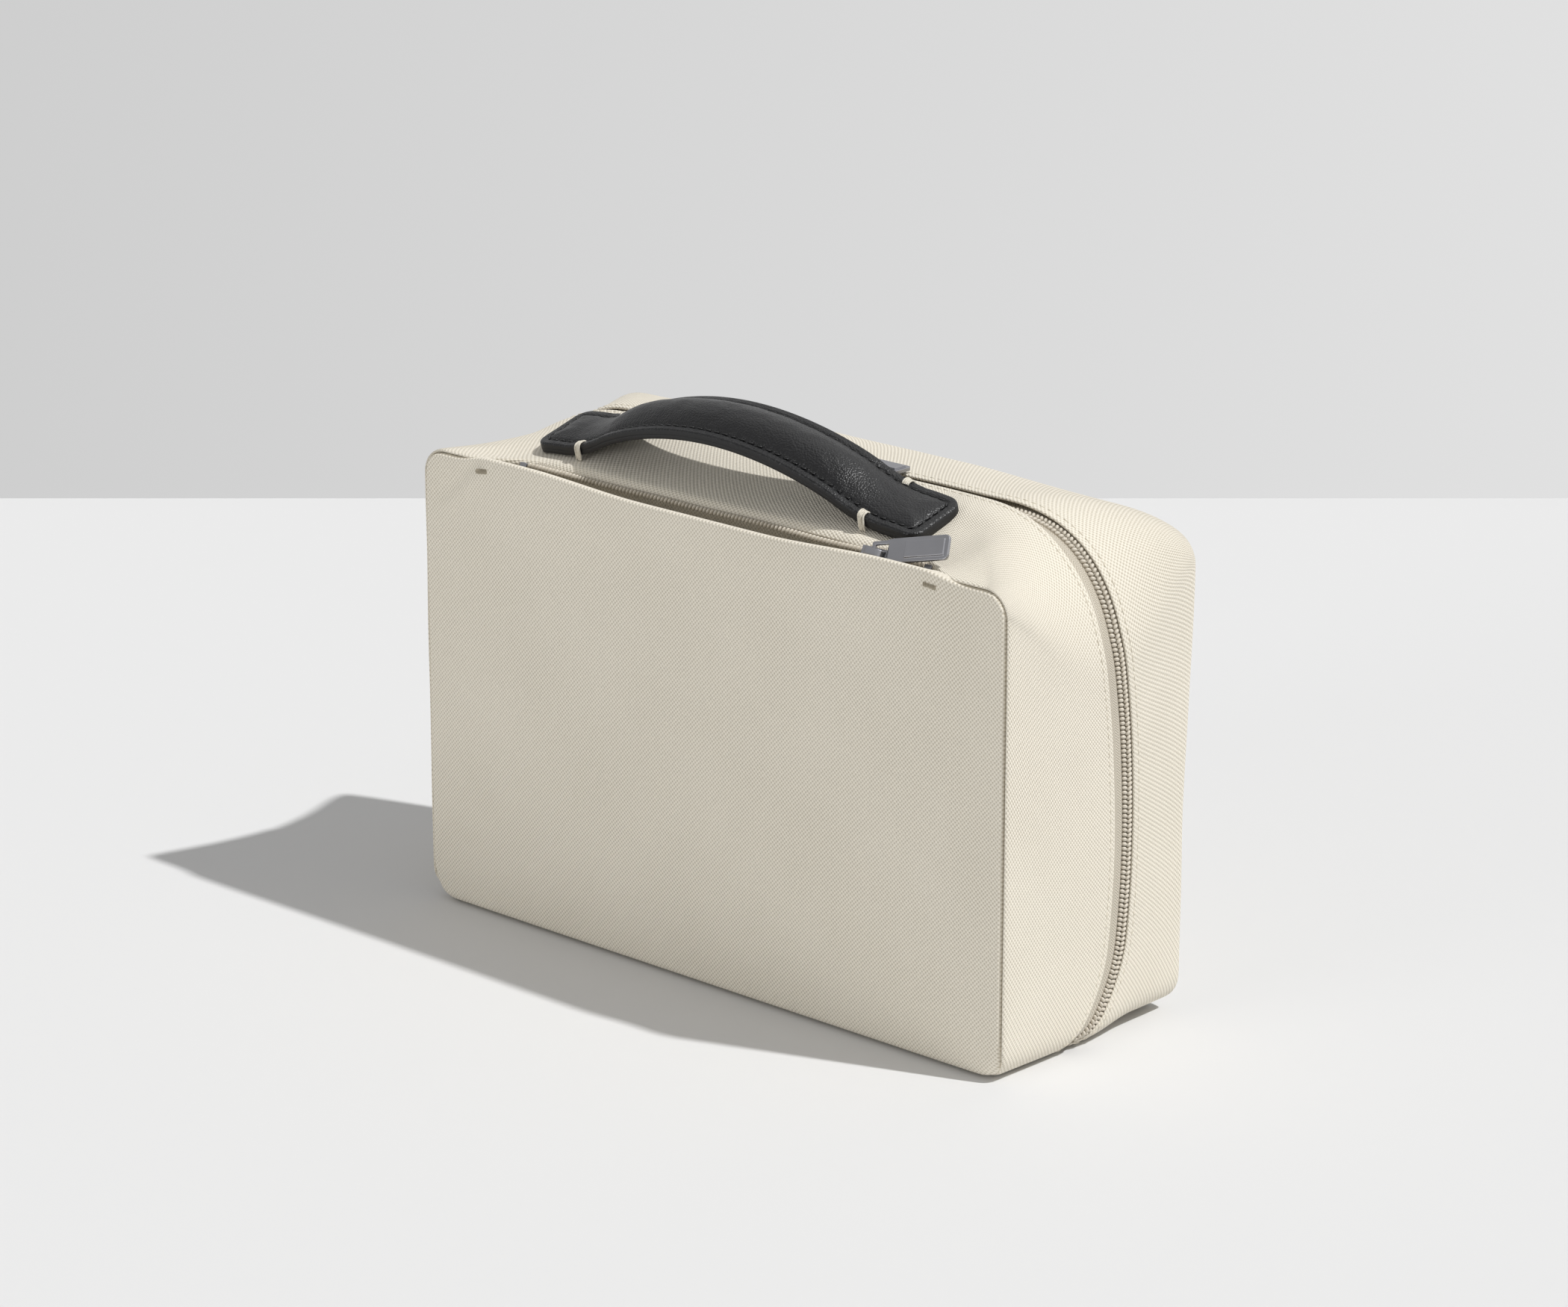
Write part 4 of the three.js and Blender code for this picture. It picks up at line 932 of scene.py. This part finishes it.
leather, tree, shader = new_material("pebbled_leather",
                                     Base_Color=linear(LEATHER_HEX), Roughness=0.36, IOR=1.42)
space = add_node(tree, "ShaderNodeTexCoord")
pebbles = add_node(tree, "ShaderNodeTexVoronoi", {"feature": "SMOOTH_F1"},
                   Vector=space.outputs["Object"], Scale=1 / (PEBBLE_MM * MM), Smoothness=0.6)
relief = maths(tree, "MULTIPLY_ADD", fine_noise(tree, 260.0, 4.0), 0.6, pebbles.outputs["Distance"])
raised(tree, shader, relief, 0.9, 0.22, invert=True)

edge_paint = new_material("leather_edge_paint",
                          Base_Color=linear(EDGE_HEX), Roughness=0.5, IOR=1.45)[0]

handle_frame = Matrix.Translation(Vector(HANDLE_PLACE) * MM) @ Matrix.Rotation(HANDLE_TILT, 4, "X")


def arch_height(x):
    """The strap is arched between its tacks, and its two ends bend down over the bag."""
    turns = [math.pi * min(abs(x + near) / HANDLE_ARCH, 1 / 2) for near in ARCH_SPREAD]
    arch = sum(HANDLE_RISE * max(math.cos(turn), 0) ** ARCH_FULLNESS for turn in turns)
    droop = END_DROOP * (max(abs(x) - TACK_AT, 0) / (HANDLE_HALF - TACK_AT)) ** 2
    return arch / len(ARCH_SPREAD) - droop


def on_handle(x, y, height):
    """A place in the bag's frame, from one along, across and above the strap."""
    return handle_frame @ (Vector((x, y, height + arch_height(x))) * MM) / MM


def crown_height(x, y, rim):
    """The leather's height: a rounded rim, the stitches' groove and the padded crown."""
    groove = GROOVE_DEEP * math.exp(-((rim - RIM_WIDTH) / GROOVE_WIDE) ** 2)
    share = min(max((rim - RIM_WIDTH) / (HANDLE_REACH - RIM_WIDTH), 0), 1)
    full = PAD_END_SHARE + (1 - PAD_END_SHARE) * smooth(HANDLE_HALF - abs(x), *PAD_RUN)
    pad = PAD_HEIGHT * full * (1 - (1 - share) ** PAD_FULLNESS)
    folds = LEATHER_FOLDS * noise.noise(Vector((x / 5, y / 3, 2))) * min(rim / 3, 1)
    return RIM_HEIGHT - rolled(RIM_ROUND, rim) - groove + pad + folds


def strap_top(x, y, rim):
    return on_handle(x, y, crown_height(x, y, rim))


STRAP = (HANDLE_HALF, -HANDLE_REACH, HANDLE_REACH, HANDLE_CORNER, HANDLE_CORNER)
strap_up = handle_frame.to_3x3() @ Vector((0, 0, 1))
bm = rounded_panel(*STRAP, 150, 44, strap_top, edge=4.2, rim_shares=(0.12, 0.55))
turned_over(bm, strap_up * (TOP_UNDERSIDE - RIM_HEIGHT + RIM_ROUND) * MM)
bmesh.ops.recalc_face_normals(bm, faces=bm.faces)
for face in bm.faces:
    face.material_index = 1 if abs(face.normal @ strap_up) < 0.35 else 0
handle_top = new_piece("handle_upper", bm, (leather, edge_paint), "handle", "handle_top")

# ------------------------------
# The handle's underside: a flat strip of the same leather, glued and sewn to the upper side, with
# firm padding between them.
BASE_THICK, CORE_THICK = 1.55, 0.3
# The padding's half length, its two sides, two corners, columns and rows, and how it is crowned.
CORE = (50, -6.5, 6.5, 3, 3, 40, 12)
CORE_CROWN, CORE_RUN = 2.2, (0, 4)


def strap_base(x, y, rim):
    return on_handle(x, y, BASE_THICK)


bm = rounded_panel(*STRAP, 90, 14, strap_base, edge=2.0, rim_shares=(0.1, 0.3))
handle_base = new_piece("handle_under", bm, edge_paint, "handle", "handle_base")
thicken(handle_base, BASE_THICK, 0)
soft_edge = handle_base.modifiers.new("worn_edge", "BEVEL")
soft_edge.width, soft_edge.segments, soft_edge.limit_method = 0.4 * MM, 2, "ANGLE"


def strap_core(x, y, rim):
    return on_handle(x, y, TOP_UNDERSIDE + CORE_THICK + CORE_CROWN * smooth(rim, *CORE_RUN))


bm = rounded_panel(*CORE, strap_core)
handle_core = new_piece("handle_padding", bm, foam, "handle", "handle_core")
thicken(handle_core, CORE_THICK, 0)

# ------------------------------
# The handle's stitching: waxed black thread, 3.6 mm apart, in the groove round the padding.
HANDLE_STITCH, HANDLE_PITCH, HANDLE_START = (3.0, 0.62, 0.62), 3.6, 1.0
STITCH_CORNER, HANDLE_SUNK = 2.2, 0.05
WAX_HEX = "161617"
waxed_thread, tree, shader = new_material("waxed_black_thread",
                                          Base_Color=linear(WAX_HEX), Roughness=0.4, IOR=1.5)
raised(tree, shader, fine_noise(tree, 2400.0, 1.0), 0.5, 0.1)

half_x, half_y = HANDLE_HALF - RIM_WIDTH, HANDLE_REACH - RIM_WIDTH
centre_x, centre_y = half_x - STITCH_CORNER, half_y - STITCH_CORNER
loop = []
for side_x, side_y, first in ((1, 1, 0), (-1, 1, 90), (-1, -1, 180), (1, -1, 270)):
    for angle in (math.radians(first + step * 22.5) for step in range(5)):
        loop.append((centre_x * side_x + STITCH_CORNER * math.cos(angle),
                     centre_y * side_y + STITCH_CORNER * math.sin(angle)))
    if side_x == side_y:
        loop += [(centre_x * side_x * (1 - i / 30), half_y * side_y) for i in range(1, 60)]
loop.append(loop[0])
line = [on_handle(x, y, RIM_HEIGHT - HANDLE_SUNK) for x, y in loop]
bm = beads(line, [strap_up] * len(line), HANDLE_PITCH, HANDLE_STITCH, HANDLE_START)
new_piece("handle_stitches", bm, waxed_thread, "handle")

# ------------------------------
# The handle's tacks: four loops of thick cream thread, each of four strands laid side by side
# over the strap's edge and sewn through the cloth.
STRAND, STRANDS, STRAND_PITCH, STRAND_WAVE = 0.38, 4, 0.62, 0.25
# A strand runs from the padding over the rim, down the edge and into the cloth. Each point is given
# across the strap and up, and by how much of the strand's own wave it is moved.
STRAND_PATH = ((9.0, 3.0, 0, 0), (9.4, 3.7, 0, 0), (10.2, 4.05, 0, 0.3), (11.4, 4.0, 0, 0),
               (12.2, 3.6, 0, 0), (12.5, 2.7, 0, 0), (12.6, 1.8, 0.3, 0), (12.7, 0.8, 1, 0),
               (12.7, -0.6, 0, 0))
STRAND_FOOT, STRAND_RISE = -0.6, 3
CORD_HEX, CORD_SHADE_HEX = "f6f1e4", "a9a08d"

cord_thread, tree, shader = new_material("thick_polyester_thread",
                                         Roughness=0.55, IOR=1.5, Sheen_Weight=0.2)
lay = fine_noise(tree, 1500.0, 2.0)
coloured(tree, shader, lay, CORD_SHADE_HEX, CORD_HEX)
raised(tree, shader, lay, 0.5, 0.15)


def strand(bm, path, radius, sides=8):
    """A round thread along a path that lies across the strap."""
    side = Vector((1, 0, 0))
    frames = []
    for before, point, after in zip(path[:1] + path, path, path[1:] + path[-1:]):
        ahead = (after - before).normalized()
        turn = Matrix((side, ahead.cross(side).normalized(), ahead)).transposed()
        frames.append(Matrix.Translation(point * MM) @ turn.to_4x4())
    start = bmesh.ops.create_circle(bm, cap_ends=True, segments=sides, radius=radius * MM,
                                    matrix=frames[0])
    end = start["verts"][0].link_faces[0]
    for before, after in zip(frames, frames[1:]):
        drawn_out = bmesh.ops.extrude_face_region(bm, geom=[end, *end.edges])["geom"]
        end = next(part for part in drawn_out if isinstance(part, bmesh.types.BMFace))
        bmesh.ops.transform(bm, matrix=after @ before.inverted(), verts=end.verts[:])


for end, end_name in ((-1, "left"), (1, "right")):
    for edge, edge_name in ((-1, "front"), (1, "back")):
        bm = bmesh.new()
        for k in range(STRANDS):
            x = end * TACK_AT + (k - (STRANDS - 1) / 2) * STRAND_PITCH
            wave = STRAND_WAVE * math.sin(k * 2.1 + end)
            path = []
            for i, (y, z, wave_y, wave_z) in enumerate(STRAND_PATH):
                y, z = y + wave * wave_y, z + wave * wave_z
                lift = arch_height(x) * min((z - STRAND_FOOT) / STRAND_RISE, 1)
                place = Vector((x + wave * i / 8, edge * y, z + lift))
                path.append(handle_frame @ (place * MM) / MM)
            strand(bm, path, STRAND)
        bmesh.ops.recalc_face_normals(bm, faces=bm.faces)
        name = f"tack_{edge_name}_{end_name}"
        tack = new_piece(name, bm, cord_thread, "handle", f"handle_{name}")
        thread_round = tack.modifiers.new("rounding", "SUBSURF")
        thread_round.levels = thread_round.render_levels = 1

# ------------------------------
# The sliders, tabs and stops: die-cast zinc with a dark grey satin plating. Tumbling has rounded
# every edge a little, so that each one catches a thin line of light.
PLATING_HEX = "98989c"
PLATING_ROUGH, PLATING_SMOOTH = 0.44, 0.3
TUMBLED, TUMBLED_FROM, FACET = 0.28, math.radians(28), math.radians(4)

gunmetal, tree, shader = new_material("gunmetal_plated_zinc",
                                      Base_Color=linear(PLATING_HEX), Metallic=1.0)
sheen = add_node(tree, "ShaderNodeMapRange", i0=fine_noise(tree, 180.0, 5.0),
                 i1=0.3, i2=0.7, i3=PLATING_SMOOTH, i4=PLATING_ROUGH)
tree.links.new(sheen.outputs[0], shader.inputs["Roughness"])

for node, body in (("main_slider_right", "right_slider"), ("main_pull_right", "right_pull"),
                   ("main_slider_left", "left_slider"), ("main_pull_left", "left_pull"),
                   ("pocket_slider", "pocket_slider_body"), ("pocket_pull", "pocket_pull_body"),
                   ("pocket_stop_left", "front_half"), ("pocket_stop_right", "front_half")):
    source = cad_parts[node]
    bm = bmesh.new()
    bm.from_mesh(source.data)
    bmesh.ops.transform(bm, matrix=source.matrix_world, verts=bm.verts)
    bmesh.ops.remove_doubles(bm, verts=bm.verts, dist=1e-6)
    bmesh.ops.dissolve_limit(bm, angle_limit=FACET, verts=bm.verts, edges=bm.edges)
    casting = new_piece(node + "_cast", bm, gunmetal, body, node, smooth_shaded=False)
    tumbled = casting.modifiers.new("tumbled_edges", "BEVEL")
    tumbled.width, tumbled.segments, tumbled.limit_method = TUMBLED * MM, 2, "ANGLE"
    tumbled.angle_limit = TUMBLED_FROM
